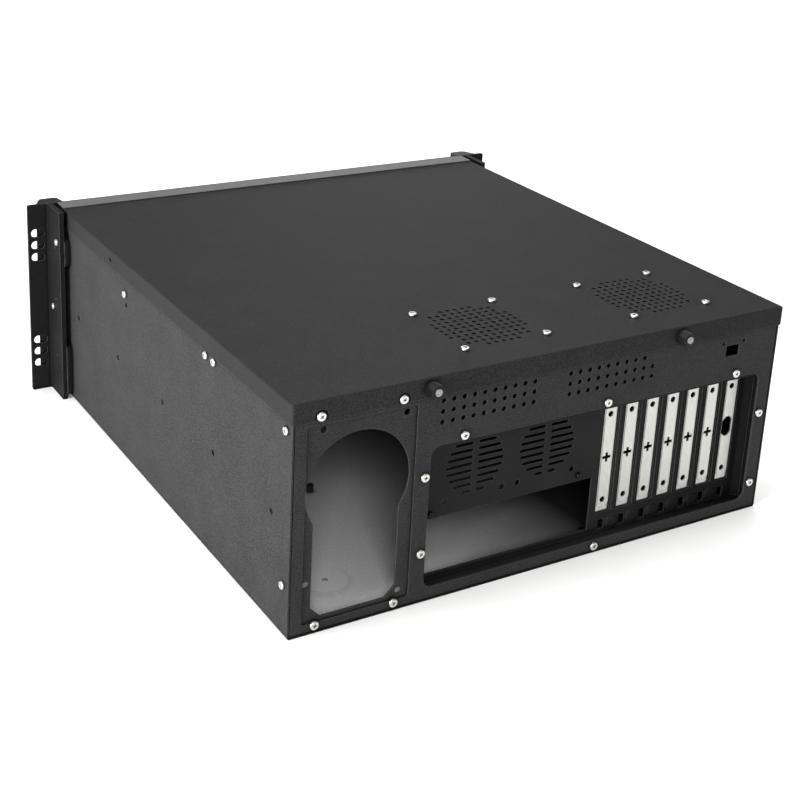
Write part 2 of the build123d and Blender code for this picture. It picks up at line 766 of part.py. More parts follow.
def front_column():
    base = body_front - panel_sheet
    front = base - column_depth
    outline = Polyline(
        (column_base_x[0], base),
        (column_base_x[1], base),
        (column_front_x[1], front),
        (column_front_x[0], front),
        close=True,
    )
    face = make_face(outline)
    face = fillet(face.vertices().group_by(Axis.Y)[0], column_round)
    return extrude(face, amount=front_height)


def rack_ear():
    inner, outer = ear_flange_x
    ear = block(inner, ear_edge_x, body_front - panel_sheet, body_front, 0, front_height)
    ear = fillet(ear.edges().filter_by(Axis.Y).group_by(Axis.X)[-1], ear_corner)
    ear += block(inner, outer, body_front, ear_flange_rear, 0, front_height)
    for low, high in ear_tabs:
        tab = block(wall_outside + screw_fit, inner, *ear_tab_y, low, high)
        ear += fillet(tab.edges().filter_by(Axis.X).group_by(Axis.Y)[-1], ear_tab_round)
    for centre in ear_slot_centres:
        for step in (-1, 0, 1):
            spot = Pos(ear_slot_x, centre + step * ear_slot_step)
            ear -= upright(spot * SlotOverall(*ear_slot_size), body_front, panel_sheet)
    shank = small_shank_radius + screw_fit
    ear -= [punch_x(y, z, shank, wall_outside, outer) for y, z in ear_screws]
    ear -= [punch_x(y, z, ear_hole_radius, wall_outside, outer) for y, z in ear_holes]
    for y, z in ear_rivets:
        ear += Pos(0, y, z) * Rot(0, 90, 0) * stub(rivet_radius, outer, outer + rivet_height)
    return ear


def drive_cage():
    left = bay_x[0] - running_gap
    right = bay_x[1] + running_gap
    length = (cage_front, cage_rear)
    height = (cage_floor_z, cage_top_z)
    outside = (left - cage_sheet, right + cage_sheet)
    cage = block(*outside, *length, cage_floor_z - cage_sheet, cage_floor_z)
    cage += block(left - cage_sheet, left, *length, *height)
    cage += block(right, right + cage_sheet, *length, *height)

    # Flange at the rear end that reaches the side wall, and a foot down to the floor
    cage += block(-panel_edge, left, cage_rear - cage_sheet, cage_rear, *height)
    lug_y, lug_z = cage_screw
    lug_sides = (-panel_edge, -panel_edge + cage_sheet)
    cage += block(*lug_sides, lug_y - cage_flange, cage_rear, lug_z - cage_flange, cage_top_z)
    cage -= punch_x(lug_y, lug_z, small_shank_radius + screw_fit, *lug_sides)
    for x in (left - cage_sheet, right):
        cage += block(x, x + cage_sheet, cage_rear - cage_flange, cage_rear, floor_top, cage_floor_z)
        foot = body_front + frame_flange + running_gap
        cage += block(x, x + cage_sheet, foot, foot + cage_flange, floor_top, cage_floor_z)
    holes = []
    for level in range(bay_count):
        for step in range(2):
            y = cage_front + cage_hole_first + step * cage_hole_step
            z = bay_z[0] + cage_hole_rise + level * (bay_z[1] - bay_z[0]) / bay_count
            holes.append(punch_x(y, z, cage_hole_radius, *outside))
    return cage - holes


def disk_cage():
    left, right = disk_cage_x
    front, rear = disk_cage_y
    cage = block(left, right, front, rear, floor_top, floor_top + cage_sheet)
    cage += block(left, left + cage_sheet, front, rear, floor_top, disk_cage_top)
    cage += block(right - cage_sheet, right, front, rear, floor_top, disk_cage_top)
    lug_y, lug_z = cage_screw
    lug_sides = (panel_edge - cage_sheet, panel_edge)
    flange_heights = (floor_top + cage_sheet, disk_cage_top)
    cage += block(right - cage_sheet, panel_edge, rear - cage_sheet, rear, *flange_heights)
    cage += block(*lug_sides, lug_y - cage_flange, rear, lug_z - cage_flange, disk_cage_top)
    cage -= punch_x(lug_y, lug_z, small_shank_radius + screw_fit, *lug_sides)
    holes = []
    for level in range(disk_count):
        for y in (front + disk_hole_inset, rear - disk_hole_inset):
            z = floor_top + disk_hole_rise + level * disk_pitch
            holes.append(punch_x(y, z, cage_hole_radius, left, right))
    return cage - holes


def hold_down_bar():
    front, rear = bar_y
    low, high = bar_z
    bar = block(-panel_edge, panel_edge, front, rear, high - bar_sheet, high)
    bar += block(-panel_edge, panel_edge, front, front + bar_sheet, low, high)
    bar += block(-panel_edge, panel_edge, rear - bar_sheet, rear, low, high)
    end = block(panel_edge - bar_sheet, panel_edge, front, rear, low, high)
    bar += [end, mirrored(end)]
    across = (-panel_edge, panel_edge)
    return bar - [punch_x(y, z, small_shank_radius + screw_fit, *across) for y, z in hold_down_screws]


def standoffs():
    x0, y0 = standoff_first
    post = punch(standoff_across_flats / 2, 6) - punch(standoff_bore, 6)
    solids = []
    for step_x in standoff_step_x:
        for step_y in standoff_step_y:
            spot = Pos(x0 + step_x, y0 + step_y, floor_top + head_gap)
            solids.append(spot * extrude(post, amount=standoff_height))
    return solids


def both_sides(spots, seat_x):
    return [screw_side(y, z, seat_x, sign) for y, z in spots for sign in (-1, 1)]


nodes = {
    "chassis_tray": chassis_tray(),
    "rear_panel": rear_panel(),
    "psu_plate": psu_plate(),
    "io_panel": io_panel(),
    "top_cover": top_cover(),
    "front_frame": front_frame(),
    "front_panel": front_panel(),
    "front_column_left": front_column(),
    "front_column_right": mirrored(front_column()),
    "rack_ear_left": rack_ear(),
    "rack_ear_right": mirrored(rack_ear()),
    "drive_cage": drive_cage(),
    "disk_cage": disk_cage(),
    "hold_down_bar": hold_down_bar(),
    "power_button": button(power_x, power_radius, seat_flats),
    "reset_button": button(reset_x, reset_radius, 2 * punch_flats),
    "power_lens": lens(lens_x[0]),
    "disk_lens": lens(lens_x[1]),
    "motherboard_standoffs": standoffs(),
}
for number, centre in enumerate(slot_centres(), start=1):
    nodes[f"slot_cover_{number}"] = slot_cover(centre, number == slot_count)
for number in range(bay_count):
    nodes[f"bay_cover_{number + 1}"] = bay_cover(number)
for name, x in zip(("left", "right"), field_x):
    nodes[f"fan_frame_{name}"] = fan_frame(x)
    nodes[f"fan_rotor_{name}"] = fan_rotor(x)
for name, x in zip(("left", "right"), thumbscrew_x):
    nodes[f"thumbscrew_knob_{name}"] = thumbscrew_knob(x)
    nodes[f"thumbscrew_screw_{name}"] = thumbscrew_screw(x)

nodes["fan_screws"] = [Pos(x, y, cover_top) * screw(pan_head_radius, pan_shank_radius)
                       for x, y in fan_screw_spots()]
nodes["io_panel_rim_screws"] = [screw_rear(x, z, 0) for x, z in bay_screw_spots()]
nodes["psu_plate_screws"] = [screw_rear(x, z, 0) for x, z in psu_screw_spots()]
nodes["io_panel_small_screws"] = [
    screw_rear(x, z, -pan_depth, tiny_head_radius, small_shank_radius) for x, z in io_screws
]
nodes["side_screws"] = both_sides(rear_flange_screws + hold_down_screws + (cage_screw,), wall_outside)
nodes["ear_screws"] = both_sides(ear_screws, ear_flange_x[1])
tab_top = ledge_top + bracket_sheet
nodes["slot_cover_screws"] = [
    Pos(x + cover_screw_offset, cover_screw_y, tab_top) * screw(small_head_radius, small_shank_radius)
    for x in slot_centres()
]

rear_reach = slip_gap + case_sheet + knob_length + thumbscrew_tip_rise
front_reach = body_front - panel_sheet - column_depth
centring = Pos(0, -(rear_reach + front_reach) / 2, 0)
for name, shape in nodes.items():
    solids = shape if isinstance(shape, list) else shape.solids()
    placed = [centring * solid for solid in solids]
    export_step(Compound(placed) if len(placed) > 1 else placed[0], f"parts/{name}.step")
    print(name, len(solids))
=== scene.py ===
import json
from math import acos, asin, cos, pi, radians, sin, sqrt
from types import SimpleNamespace as Settings

import bmesh
import bpy
from mathutils import Matrix, Vector

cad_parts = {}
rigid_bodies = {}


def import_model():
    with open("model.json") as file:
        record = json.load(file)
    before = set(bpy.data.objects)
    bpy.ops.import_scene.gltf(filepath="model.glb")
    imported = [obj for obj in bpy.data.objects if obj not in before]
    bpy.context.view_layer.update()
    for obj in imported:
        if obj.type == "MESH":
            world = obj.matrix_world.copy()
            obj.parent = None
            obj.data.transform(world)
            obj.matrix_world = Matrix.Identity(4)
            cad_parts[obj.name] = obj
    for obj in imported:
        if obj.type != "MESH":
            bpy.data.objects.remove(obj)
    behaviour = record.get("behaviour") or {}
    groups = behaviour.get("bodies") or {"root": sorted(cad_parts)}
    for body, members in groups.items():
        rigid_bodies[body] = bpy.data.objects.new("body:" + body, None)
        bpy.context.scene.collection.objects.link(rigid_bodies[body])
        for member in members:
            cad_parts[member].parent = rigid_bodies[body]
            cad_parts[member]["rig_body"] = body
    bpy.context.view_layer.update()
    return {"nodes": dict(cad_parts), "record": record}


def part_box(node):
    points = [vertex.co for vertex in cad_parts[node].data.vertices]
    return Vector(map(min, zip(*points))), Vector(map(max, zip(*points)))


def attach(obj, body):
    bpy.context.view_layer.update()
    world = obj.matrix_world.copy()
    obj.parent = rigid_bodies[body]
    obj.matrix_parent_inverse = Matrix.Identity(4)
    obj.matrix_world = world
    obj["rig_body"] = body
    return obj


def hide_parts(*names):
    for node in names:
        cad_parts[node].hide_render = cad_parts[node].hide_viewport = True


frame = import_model()
scene = bpy.context.scene

# An empty four-unit rackmount case of folded, powder coated sheet steel.
# Pieces are drawn in millimetres, with Y = 0 at the rear panel's outer face, and
# are moved into the frame when they are finished.
mm = 0.001
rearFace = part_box("rear_panel")[1].y
toFrame = Matrix.Translation((0, rearFace, 0)) @ Matrix.Scale(mm, 4)
slotOf = {part["node"]: part["material_slot"] for part in frame["record"]["subparts"]}


# Colour and materials

def linear(hexColour):
    values = [int(hexColour[i:i + 2], 16) / 255 for i in (1, 3, 5)]
    return [v / 12.92 if v <= 0.04045 else ((v + 0.055) / 1.055) ** 2.4 for v in values] + [1.0]


def addNode(tree, kind, settings=None, links=None):
    node = tree.nodes.new("ShaderNode" + kind)
    for name, value in (settings or {}).items():
        if isinstance(name, int) or name in node.inputs:
            node.inputs[name].default_value = value
        else:
            setattr(node, name, value)
    for name, source in (links or {}).items():
        tree.links.new(source, node.inputs[name])
    return node


def startMaterial(name, **values):
    material = bpy.data.materials.new(name)
    material.use_nodes = True
    shader = material.node_tree.nodes["Principled BSDF"]
    for socket, value in values.items():
        shader.inputs[socket.replace("_", " ")].default_value = value
    return material, material.node_tree, shader


def objectPlace(tree):
    return addNode(tree, "TexCoord").outputs["Object"]


def grainNoise(tree, grain, detail=2.0, roughness=0.5, place=None):
    # A noise whose blotches are about grain millimetres across
    settings = {"Scale": 1 / (grain * mm), "Detail": detail, "Roughness": roughness}
    links = {"Vector": place or objectPlace(tree)}
    return addNode(tree, "TexNoise", settings, links).outputs["Fac"]


def twoTone(tree, factor, dark, light, low=0.35, high=0.65):
    ramp = addNode(tree, "ValToRGB", None, {"Fac": factor})
    for element, place, colour in zip(ramp.color_ramp.elements, (low, high), (dark, light)):
        element.position = place
        element.color = linear(colour)
    return ramp.outputs["Color"]


def remap(tree, factor, low, high, start=0.0, end=1.0):
    # Goes from low to high while the factor goes from start to end
    settings = {"From Min": start, "From Max": end, "To Min": low, "To Max": high}
    return addNode(tree, "MapRange", settings, {"Value": factor}).outputs["Result"]


def dim(tree, colour, share):
    settings = {"data_type": "RGBA", "blend_type": "MULTIPLY", "Factor": 1.0}
    return addNode(tree, "Mix", settings, {6: colour, 7: share}).outputs[2]


def calculate(tree, operation, first, second):
    # The first value is a socket, the second a socket or a number
    settings, links = {"operation": operation}, {0: first}
    (settings if isinstance(second, float) else links)[1] = second
    return addNode(tree, "Math", settings, links).outputs[0]


def roughen(tree, shader, height, depth, edge):
    # Bump of depth millimetres, over edges that are rounded by edge millimetres
    rounded = addNode(tree, "Bevel", {"samples": 4, "Radius": edge * mm}).outputs["Normal"]
    bump = addNode(tree, "Bump", {"Distance": depth * mm, "Strength": 1.0},
                   {"Height": height, "Normal": rounded})
    tree.links.new(bump.outputs["Normal"], shader.inputs["Normal"])
    return rounded


def setLook(tree, shader, colour, texture, smooth, rough):
    tree.links.new(colour, shader.inputs["Base Color"])
    tree.links.new(remap(tree, texture, smooth, rough), shader.inputs["Roughness"])


# Painted shade in nooks and painted highlight along edges
paintedLight = {
    "nook": (0.48, 0.96),   # open share of the surroundings, where darkest and where clear
    "edge": (0.995, 0.85),  # likeness of the true and the rounded normal, where flat and at an edge
}


def shadeNooks(tree, colour, reach, darkest):
    # Corners and gaps, where little light gets in, stay darker
    settings = {"samples": 6, "Distance": reach * mm}
    opening = addNode(tree, "AmbientOcclusion", settings).outputs["AO"]
    return dim(tree, colour, remap(tree, opening, darkest, 1.0, *paintedLight["nook"]))


def paintEdgeHighlight(tree, colour, rounded, pale):
    # Painted highlight along edges: where the rounded normal leaves the true one, an edge is near, and the
    # colour turns paler there, standing in for the light that rounded bends catch
    flat = addNode(tree, "NewGeometry").outputs["Normal"]
    likeness = addNode(tree, "VectorMath", {"operation": "DOT_PRODUCT"}, {0: rounded, 1: flat})
    share = remap(tree, likeness.outputs["Value"], 0.0, 1.0, *paintedLight["edge"])
    settings = {"data_type": "RGBA", 7: linear(pale)}
    return addNode(tree, "Mix", settings, {"Factor": share, 6: colour}).outputs[2]


# Thermoset powder coat on steel, sprayed and baked: a matt black skin with a fine
# sandy grain that glints a little where the light rakes over it
powder = {
    "grain": 0.9,       # real grains are about 0.2 mm, drawn coarser so that they show
    "patch": 30.0,      # slow change of shade over the sheet
    "patchShare": 0.1, "bump": 0.022, "edge": 0.45,
    "nook": 5.0,        # how far off the coat looks for faces that shade it
    "nookShade": 0.12,
}

# Just short of the inner faces of the sheets round the inside, in drawing millimetres
insideBox = {"halfWidth": 212.85, "rear": -1.1, "floor": 1.1, "ceiling": 174.9}
# Painted shade inside the case: full light near the centre, fading to the shade share at far, in drawing
# millimetres
insideShadeFade = {"centre": (165.0, -40.0), "stretch": 0.5, "near": 10.0, "far": 232.0, "shade": 0.02}


def paleLitInside(tree, colour, insideLitColour):
    # Faces that look into the case are bare zinc coated sheet, drawn much paler than zinc as painted light
    # for the light that falls in through the rear openings. They fade to painted shade away from the power
    # supply opening.
    place = objectPlace(tree)
    x, y, z = addNode(tree, "SeparateXYZ", None, {"Vector": place}).outputs
    across = calculate(tree, "ABSOLUTE", x, 0.0)
    within = calculate(tree, "LESS_THAN", across, insideBox["halfWidth"] * mm)
    for operation, source, limit in (
        ("LESS_THAN", y, insideBox["rear"] * mm + rearFace),
        ("GREATER_THAN", z, insideBox["floor"] * mm),
        ("LESS_THAN", z, insideBox["ceiling"] * mm),
    ):
        within = calculate(tree, "MULTIPLY", within, calculate(tree, operation, source, limit))
    stretch = insideShadeFade["stretch"]
    centreX, centreY = insideShadeFade["centre"]
    centre = (centreX * mm, (centreY * mm + rearFace) * stretch, 0)
    settings = {"operation": "MULTIPLY", 1: (1, stretch, 0)}
    level = addNode(tree, "VectorMath", settings, {0: place}).outputs[0]
    away = addNode(tree, "VectorMath", {"operation": "DISTANCE", 1: centre}, {0: level})
    share = remap(tree, away.outputs["Value"], insideShadeFade["shade"], 1.0,
                  insideShadeFade["far"] * mm, insideShadeFade["near"] * mm)
    links = {"Factor": within, 6: colour, 7: dim(tree, insideLitColour, share)}
    return addNode(tree, "Mix", {"data_type": "RGBA"}, links).outputs[2]


def powderCoat(name, dark, light, roughness=0.6, inside=None, edgeHighlightTone="#58585a", paintedShadeAcross=None):
    material, tree, shader = startMaterial(name, IOR=1.5, Specular_IOR_Level=0.06)
    grain = grainNoise(tree, powder["grain"], 3.0, 0.6)
    settings, links = {"Factor": powder["patchShare"]}, {2: grain, 3: grainNoise(tree, powder["patch"])}
    texture = addNode(tree, "Mix", settings, links).outputs[0]
    colour = twoTone(tree, texture, dark, light)
    if inside:
        colour = paleLitInside(tree, colour, twoTone(tree, texture, *inside))
    if paintedShadeAcross:
        # Painted shade: darkens between two places in X, toward the second
        start, end, darkest = paintedShadeAcross
        across = addNode(tree, "SeparateXYZ", None, {"Vector": objectPlace(tree)}).outputs["X"]
        colour = dim(tree, colour, remap(tree, across, darkest, 1.0, end * mm, start * mm))
    rounded = roughen(tree, shader, grain, powder["bump"], powder["edge"])
    # Painted shade in nooks and, outside the case, painted highlight along edges
    colour = shadeNooks(tree, colour, powder["nook"], powder["nookShade"])
    if not inside:
        colour = paintEdgeHighlight(tree, colour, rounded, edgeHighlightTone)
    setLook(tree, shader, colour, grain, roughness - 0.08, roughness + 0.1)
    return material


# Plated steel: pale metal, with faint lines along a bright rolled strip
def platedSteel(name, dark, light, roughness=0.4, stretch=(1, 1, 1), bump=0.004, nook=0.0):
    material, tree, shader = startMaterial(name, Metallic=1.0)
    settings = {"Scale": tuple(1 / s for s in stretch)}
    along = addNode(tree, "Mapping", settings, {"Vector": objectPlace(tree)}).outputs["Vector"]
    lines = grainNoise(tree, 0.8, 3.0, place=along)
    colour = twoTone(tree, lines, dark, light, 0.3, 0.7)
    # Painted shade where the metal meets other parts
    if nook:
        colour = shadeNooks(tree, colour, nook, 0.08)
    setLook(tree, shader, colour, lines, roughness - 0.06, roughness + 0.08)
    roughen(tree, shader, lines, bump, 0.15)
    return material


# Moulded plastics: a spark eroded mould leaves a soft, even grain
def mouldedPlastic(name, dark, light, roughness):
    material, tree, shader = startMaterial(name, IOR=1.5, Specular_IOR_Level=0.15)
    texture = grainNoise(tree, 0.5)
    colour = twoTone(tree, texture, dark, light)
    setLook(tree, shader, colour, texture, roughness - 0.05, roughness + 0.08)
    roughen(tree, shader, texture, 0.02, 0.3)
    return material


# Clear acrylic light guide, polished ends
def acrylic():
    material, tree, shader = startMaterial("clearAcrylic", IOR=1.49, Transmission_Weight=0.85)
    cloud = grainNoise(tree, 1.5)
    setLook(tree, shader, twoTone(tree, cloud, "#c9d3d6", "#eef3f4"), cloud, 0.05, 0.15)
    return material


finishes = {
    "black_powder_coat": powderCoat("blackPowderCoat", "#181818", "#2d2d2e"),
    "column_coat": powderCoat("columnPaint", "#1c1c1d", "#2a2a2b", 0.42),
    "zinc_sheet": platedSteel("zincPlatedSheet", "#9fa3a5", "#bfc2c2", 0.4, (6, 6, 6)),
    "nickel_sheet": platedSteel("nickelPlatedSheet", "#bcbcba", "#cccbc9", 0.4, (1, 1, 9), 0.0015, 1.2),
    "nickel_screws": platedSteel("nickelPlatedScrew", "#c2c1bd", "#dedcd8", 0.3, nook=1.0),
    "brass": platedSteel("tarnishedBrass", "#3d3931", "#5a554a"),
    "front_plastic": mouldedPlastic("mouldedAbsFront", "#151516", "#232324", 0.45),
    "knob_plastic": mouldedPlastic("mouldedNylonKnob", "#0c0c0c", "#1a1a1a", 0.38),
    "fan_plastic": mouldedPlastic("mouldedPbtFan", "#0b0b0c", "#161617", 0.4),
    "clear_lens": acrylic(),
}

# Lit and shaded copies of the black coat: the rear panel and the plate behind it drawn lighter as painted
# light, the rack ears darker as painted shade
rearPowder = powderCoat("rearPowderCoat", "#1d1d1d", "#363637")
earPowder = powderCoat("earPowderCoat", "#101010", "#1c1c1d")
turnedSteel = platedSteel("turnedSteelTip", "#7c7b79", "#a3a19e", 0.42, nook=1.0)
ownFinish = {
    # The front top strip is the same black coat drawn lighter, as painted light
    "front_frame": powderCoat("stripPaint", "#4f4f50", "#626263", 0.5),
    # Inside faces of the tray drawn pale as painted light, fading to painted shade
    "chassis_tray": powderCoat("shellPowderCoat", "#141414", "#3d3d3e", inside=("#d8d8d8", "#f2f2f2")),
    "rear_panel": rearPowder,
    "psu_plate": rearPowder,
    # The recess drawn darker, and darker still toward its far end, as painted shade
    "io_panel": powderCoat("recessPowderCoat", "#141414", "#262627", edgeHighlightTone="#515152",
                           paintedShadeAcross=(-60.0, -190.0, 0.25)),
    "rack_ear_left": earPowder,
    "rack_ear_right": earPowder,
    "io_panel_small_screws": platedSteel("blackenedScrew", "#202020", "#343434", nook=1.0),
    "thumbscrew_screw_left": turnedSteel,
    "thumbscrew_screw_right": turnedSteel,
}


def finishOf(node):
    return ownFinish.get(node, finishes[slotOf[node]])


for name, node in frame["nodes"].items():
    for place in node.material_slots:
        place.material = finishOf(name)
print("materials on", len(frame["nodes"]), "nodes")


# Shapes in millimetres

near = 1e-3         # a corner this near to a place counts as there
clear = 4.0         # how far a tool that cuts holes in a sheet reaches to either side of it
slotEnd = 0.98      # rounding of a slot's ends, as a share of half its width

turnTo = {
    "X": Matrix.Rotation(radians(90), 4, "Y"),
    "Y": Matrix.Rotation(radians(-90), 4, "X"),
    "Z": Matrix.Identity(4),
}


def addBlock(bm, x0, x1, y0, y1, z0, z1):
    centre = Vector(((x0 + x1) / 2, (y0 + y1) / 2, (z0 + z1) / 2))
    size = Matrix.Diagonal((x1 - x0, y1 - y0, z1 - z0, 1))
    return bmesh.ops.create_cube(bm, size=1, matrix=Matrix.Translation(centre) @ size)["verts"]


def addRod(bm, start, axis, length, radius, endRadius=None, segments=16):
    # A rod or cone that grows from start along the axis
    place = Matrix.Translation(start) @ turnTo[axis] @ Matrix.Translation((0, 0, length / 2))
    bmesh.ops.create_cone(
        bm, cap_ends=True, segments=segments, radius1=radius,
        radius2=radius if endRadius is None else endRadius, depth=length, matrix=place,
    )


def addRods(bm, axis, spots, low, high, radius, segments=16):
    # Rods from low to high along an axis, at spots in the two other axes
    turn = "XYZ".index(axis)
    for spot in spots:
        addRod(bm, (*spot[:turn], low, *spot[turn:]), axis, high - low, radius, segments=segments)


def edgesAt(bm, along=None, **places):
    # Edges with both ends at the places, such as y=0. They run along an axis where one is named.
    edges = [edge for edge in bm.edges if all(
        abs(getattr(vert.co, axis) - place) < near for vert in edge.verts for axis, place in places.items())]
    if along:
        edges = [edge for edge in edges if abs(getattr(edge.verts[0].co - edge.verts[1].co, along)) > 1]
    return edges


def roundOff(bm, parts, radius, segments, affect="EDGES"):
    bmesh.ops.bevel(bm, geom=parts, offset=radius, segments=segments, profile=0.5,
                    affect=affect, material=-1, clamp_overlap=True)


def roundAt(bm, radius, segments, along=None, **places):
    roundOff(bm, edgesAt(bm, along, **places), radius, segments)


def faceOutward(bm):
    bmesh.ops.recalc_face_normals(bm, faces=bm.faces)


def moveGrown(bm, grown, step):
    verts = [part for part in grown["geom"] if isinstance(part, bmesh.types.BMVert)]
    bmesh.ops.translate(bm, verts=verts, vec=step)


def addPlate(bm, points, y0, y1, corner=0.0, segments=6):
    # An upright plate between y0 and y1 with the outline of points in X and Z
    verts = [bm.verts.new((x, y0, z)) for x, z in points]
    face = bm.faces.new(verts)
    if corner:
        roundOff(bm, verts, corner, segments, "VERTICES")
        face = [f for f in bm.faces if all(abs(v.co.y - y0) < 1e-6 for v in f.verts)][-1]
    moveGrown(bm, bmesh.ops.extrude_face_region(bm, geom=[face]), (0, y1 - y0, 0))
    faceOutward(bm)


def addWalls(bm, rings):
    # Faces that join each ring of corners to the next
    for ring, following in zip(rings, rings[1:]):
        for i in range(len(ring)):
            j = (i + 1) % len(ring)
            bm.faces.new((ring[i], ring[j], following[j], following[i]))


def shapeOf(add, *values, **settings):
    # A new mesh with what an add function gives it
    bm = bmesh.new()
    add(bm, *values, **settings)
    return bm


def plateOf(*values):
    return shapeOf(addPlate, *values)


def rods(*values):
    return shapeOf(addRods, *values)


def rectangle(x0, x1, z0, z1):
    return [(x0, z0), (x1, z0), (x1, z1), (x0, z1)]


def around(x, z, halfWidth, halfHeight):
    return rectangle(x - halfWidth, x + halfWidth, z - halfHeight, z + halfHeight)


def squareSpots(x, y, spacing):
    half = spacing / 2
    return [(x + i, y + j) for i in (-half, half) for j in (-half, half)]


def asObject(name, bm):
    mesh = bpy.data.meshes.new(name)
    bm.to_mesh(mesh)
    bm.free()
    thing = bpy.data.objects.new(name, mesh)
    scene.collection.objects.link(thing)
    return thing


def combine(solid, tool, operation):
    whole, other = asObject("solid", solid), asObject("tool", tool)
    step = whole.modifiers.new("combine", "BOOLEAN")
    step.operation = operation
    step.solver = "EXACT"
    step.object = other
    evaluated = whole.evaluated_get(bpy.context.evaluated_depsgraph_get())
    result = bmesh.new()
    result.from_mesh(evaluated.to_mesh())
    evaluated.to_mesh_clear()
    for thing in (whole, other):
        bpy.data.meshes.remove(thing.data)
    return result


def cut(solid, *tools):
    for tool in tools:
        solid = combine(solid, tool, "DIFFERENCE")
    return solid


def join(solid, *others):
    for other in others:
        solid = combine(solid, other, "UNION")
    return solid


def thicken(bm, thickness, outward=None):
    # Gives open folded faces their sheet thickness, on the inside. Where outward is given,
    # the largest face looks that way.
    faceOutward(bm)
    largest = max(bm.faces, key=lambda face: face.calc_area())
    if outward and largest.normal.dot(Vector(outward)) < 0:
        bmesh.ops.reverse_faces(bm, faces=bm.faces)
    bmesh.ops.solidify(bm, geom=list(bm.faces), thickness=thickness)


def finishPiece(name, bm, nodes, smoothBelow=40):
    # Moves the piece into the frame, on the body of the nodes that it stands for
    bmesh.ops.remove_doubles(bm, verts=bm.verts, dist=0.001)
    bm.transform(toFrame)
    piece = asObject(name, bm)
    piece.data.materials.append(finishOf(nodes[0]))
    piece.data.shade_smooth()
    piece.data.set_sharp_from_angle(angle=radians(smoothBelow))
    weighted = piece.modifiers.new("weightedNormals", "WEIGHTED_NORMAL")
    weighted.keep_sharp = True
    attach(piece, frame["nodes"][nodes[0]]["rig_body"])
    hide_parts(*nodes)


# What the frame holds

def boxOf(node):
    # Lowest and highest corner of a node in drawing millimetres
    return [toFrame.inverted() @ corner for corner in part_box(node)]


def looseParts(node):
    # Lowest and highest corner, in drawing millimetres, of each loose part of a node
    bm = bmesh.new()
    bm.from_mesh(frame["nodes"][node].data)
    bmesh.ops.remove_doubles(bm, verts=bm.verts, dist=1e-6)
    bm.transform(toFrame.inverted())
    seen, parts = set(), []
    for start in bm.verts:
        if start in seen:
            continue
        reach, part = [start], []
        seen.add(start)
        while reach:
            vert = reach.pop()
            part.append(vert.co.copy())
            others = {edge.other_vert(vert) for edge in vert.link_edges} - seen
            seen |= others
            reach += others
        parts.append([Vector(pick(c[i] for c in part) for i in range(3)) for pick in (min, max)])
    bm.free()
    return sorted(parts, key=lambda part: tuple(part[0]))


def screwSpots(*nodes):
    # Where the rearward screws of the nodes sit, in X and Z
    return [((low.x + high.x) / 2, (low.z + high.z) / 2) for node in nodes for low, high in looseParts(node)]


# Pan head machine screws with a cross recess

panHead = {
    "height": 2.0,
    "rim": 0.9,             # how far the edge of the head rounds down
    "foot": 0.2,
    "crossLength": 0.56,    # wings of the recess, as shares of the head's radius
    "crossWidth": 0.17, "crossDepth": 0.9, "crossTaper": 0.6, "shankLength": 4.4,
    "firstTurn": 12.0,
    "turnStep": 37.0,       # each screw stops at another angle
}


def screwShape(headRadius, shankRadius):
    s = Settings(**panHead)
    bm = shapeOf(addRod, (0, 0, 0), "Z", s.height, headRadius, segments=28)
    roundAt(bm, s.rim, 4, z=s.height)
    roundAt(bm, s.foot, 1, z=0)
    wings = headRadius * s.crossLength, headRadius * s.crossWidth
    for long, short in (wings, wings[::-1]):
        cross = bmesh.new()
        verts = addBlock(cross, -long, long, -short, short, s.height - s.crossDepth, s.height + 1)
        low = [vert for vert in verts if vert.co.z < s.height]
        bmesh.ops.scale(cross, vec=(s.crossTaper, s.crossTaper, 1), verts=low)
        bm = cut(bm, cross)
    addRod(bm, (0, 0, -s.shankLength), "Z", s.shankLength, shankRadius)
    return bm


screwGroups = {
    # node: the way the heads face, head radius and shank radius
    "fan_screws": ((0, 0, 1), 3.4, 1.95),
    "io_panel_rim_screws": ((0, 1, 0), 3.4, 1.95),
    "psu_plate_screws": ((0, 1, 0), 3.4, 1.95),
    "io_panel_small_screws": ((0, 1, 0), 2.1, 1.5),
    "side_screws": ((1, 0, 0), 3.0, 1.5),
    "ear_screws": ((1, 0, 0), 3.0, 1.5),
    "slot_cover_screws": ((0, 0, 1), 3.0, 1.5),
}


def screwGroup(node, axis, headRadius, shankRadius):
    template = bpy.data.meshes.new("screw")
    shape = screwShape(headRadius, shankRadius)
    shape.to_mesh(template)
    shape.free()
    group = bmesh.new()
    for index, (low, high) in enumerate(looseParts(node)):
        centre = (low + high) / 2
        out = Vector(axis)
        if centre.x < 0 and out.x:
            out = -out
        reach = max(out.dot(low - centre), out.dot(high - centre))
        seat = Matrix.Translation(centre + out * (reach - panHead["height"]))
        turned = out.to_track_quat("Z", "Y").to_matrix().to_4x4()
        angle = radians(panHead["turnStep"] * index + panHead["firstTurn"])
        before = len(group.verts)
        group.from_mesh(template)
        group.verts.ensure_lookup_table()
        place = seat @ turned @ Matrix.Rotation(angle, 4, "Z")
        bmesh.ops.transform(group, matrix=place, verts=group.verts[before:])
    bpy.data.meshes.remove(template)
    name = node.replace("_", " ").title().replace(" ", "") + "Detailed"
    finishPiece(name, group, [node], 30)


for node, values in screwGroups.items():
    screwGroup(node, *values)
print("screws")


# Card slot covers: blanked nickel plated strip with a pressed panel

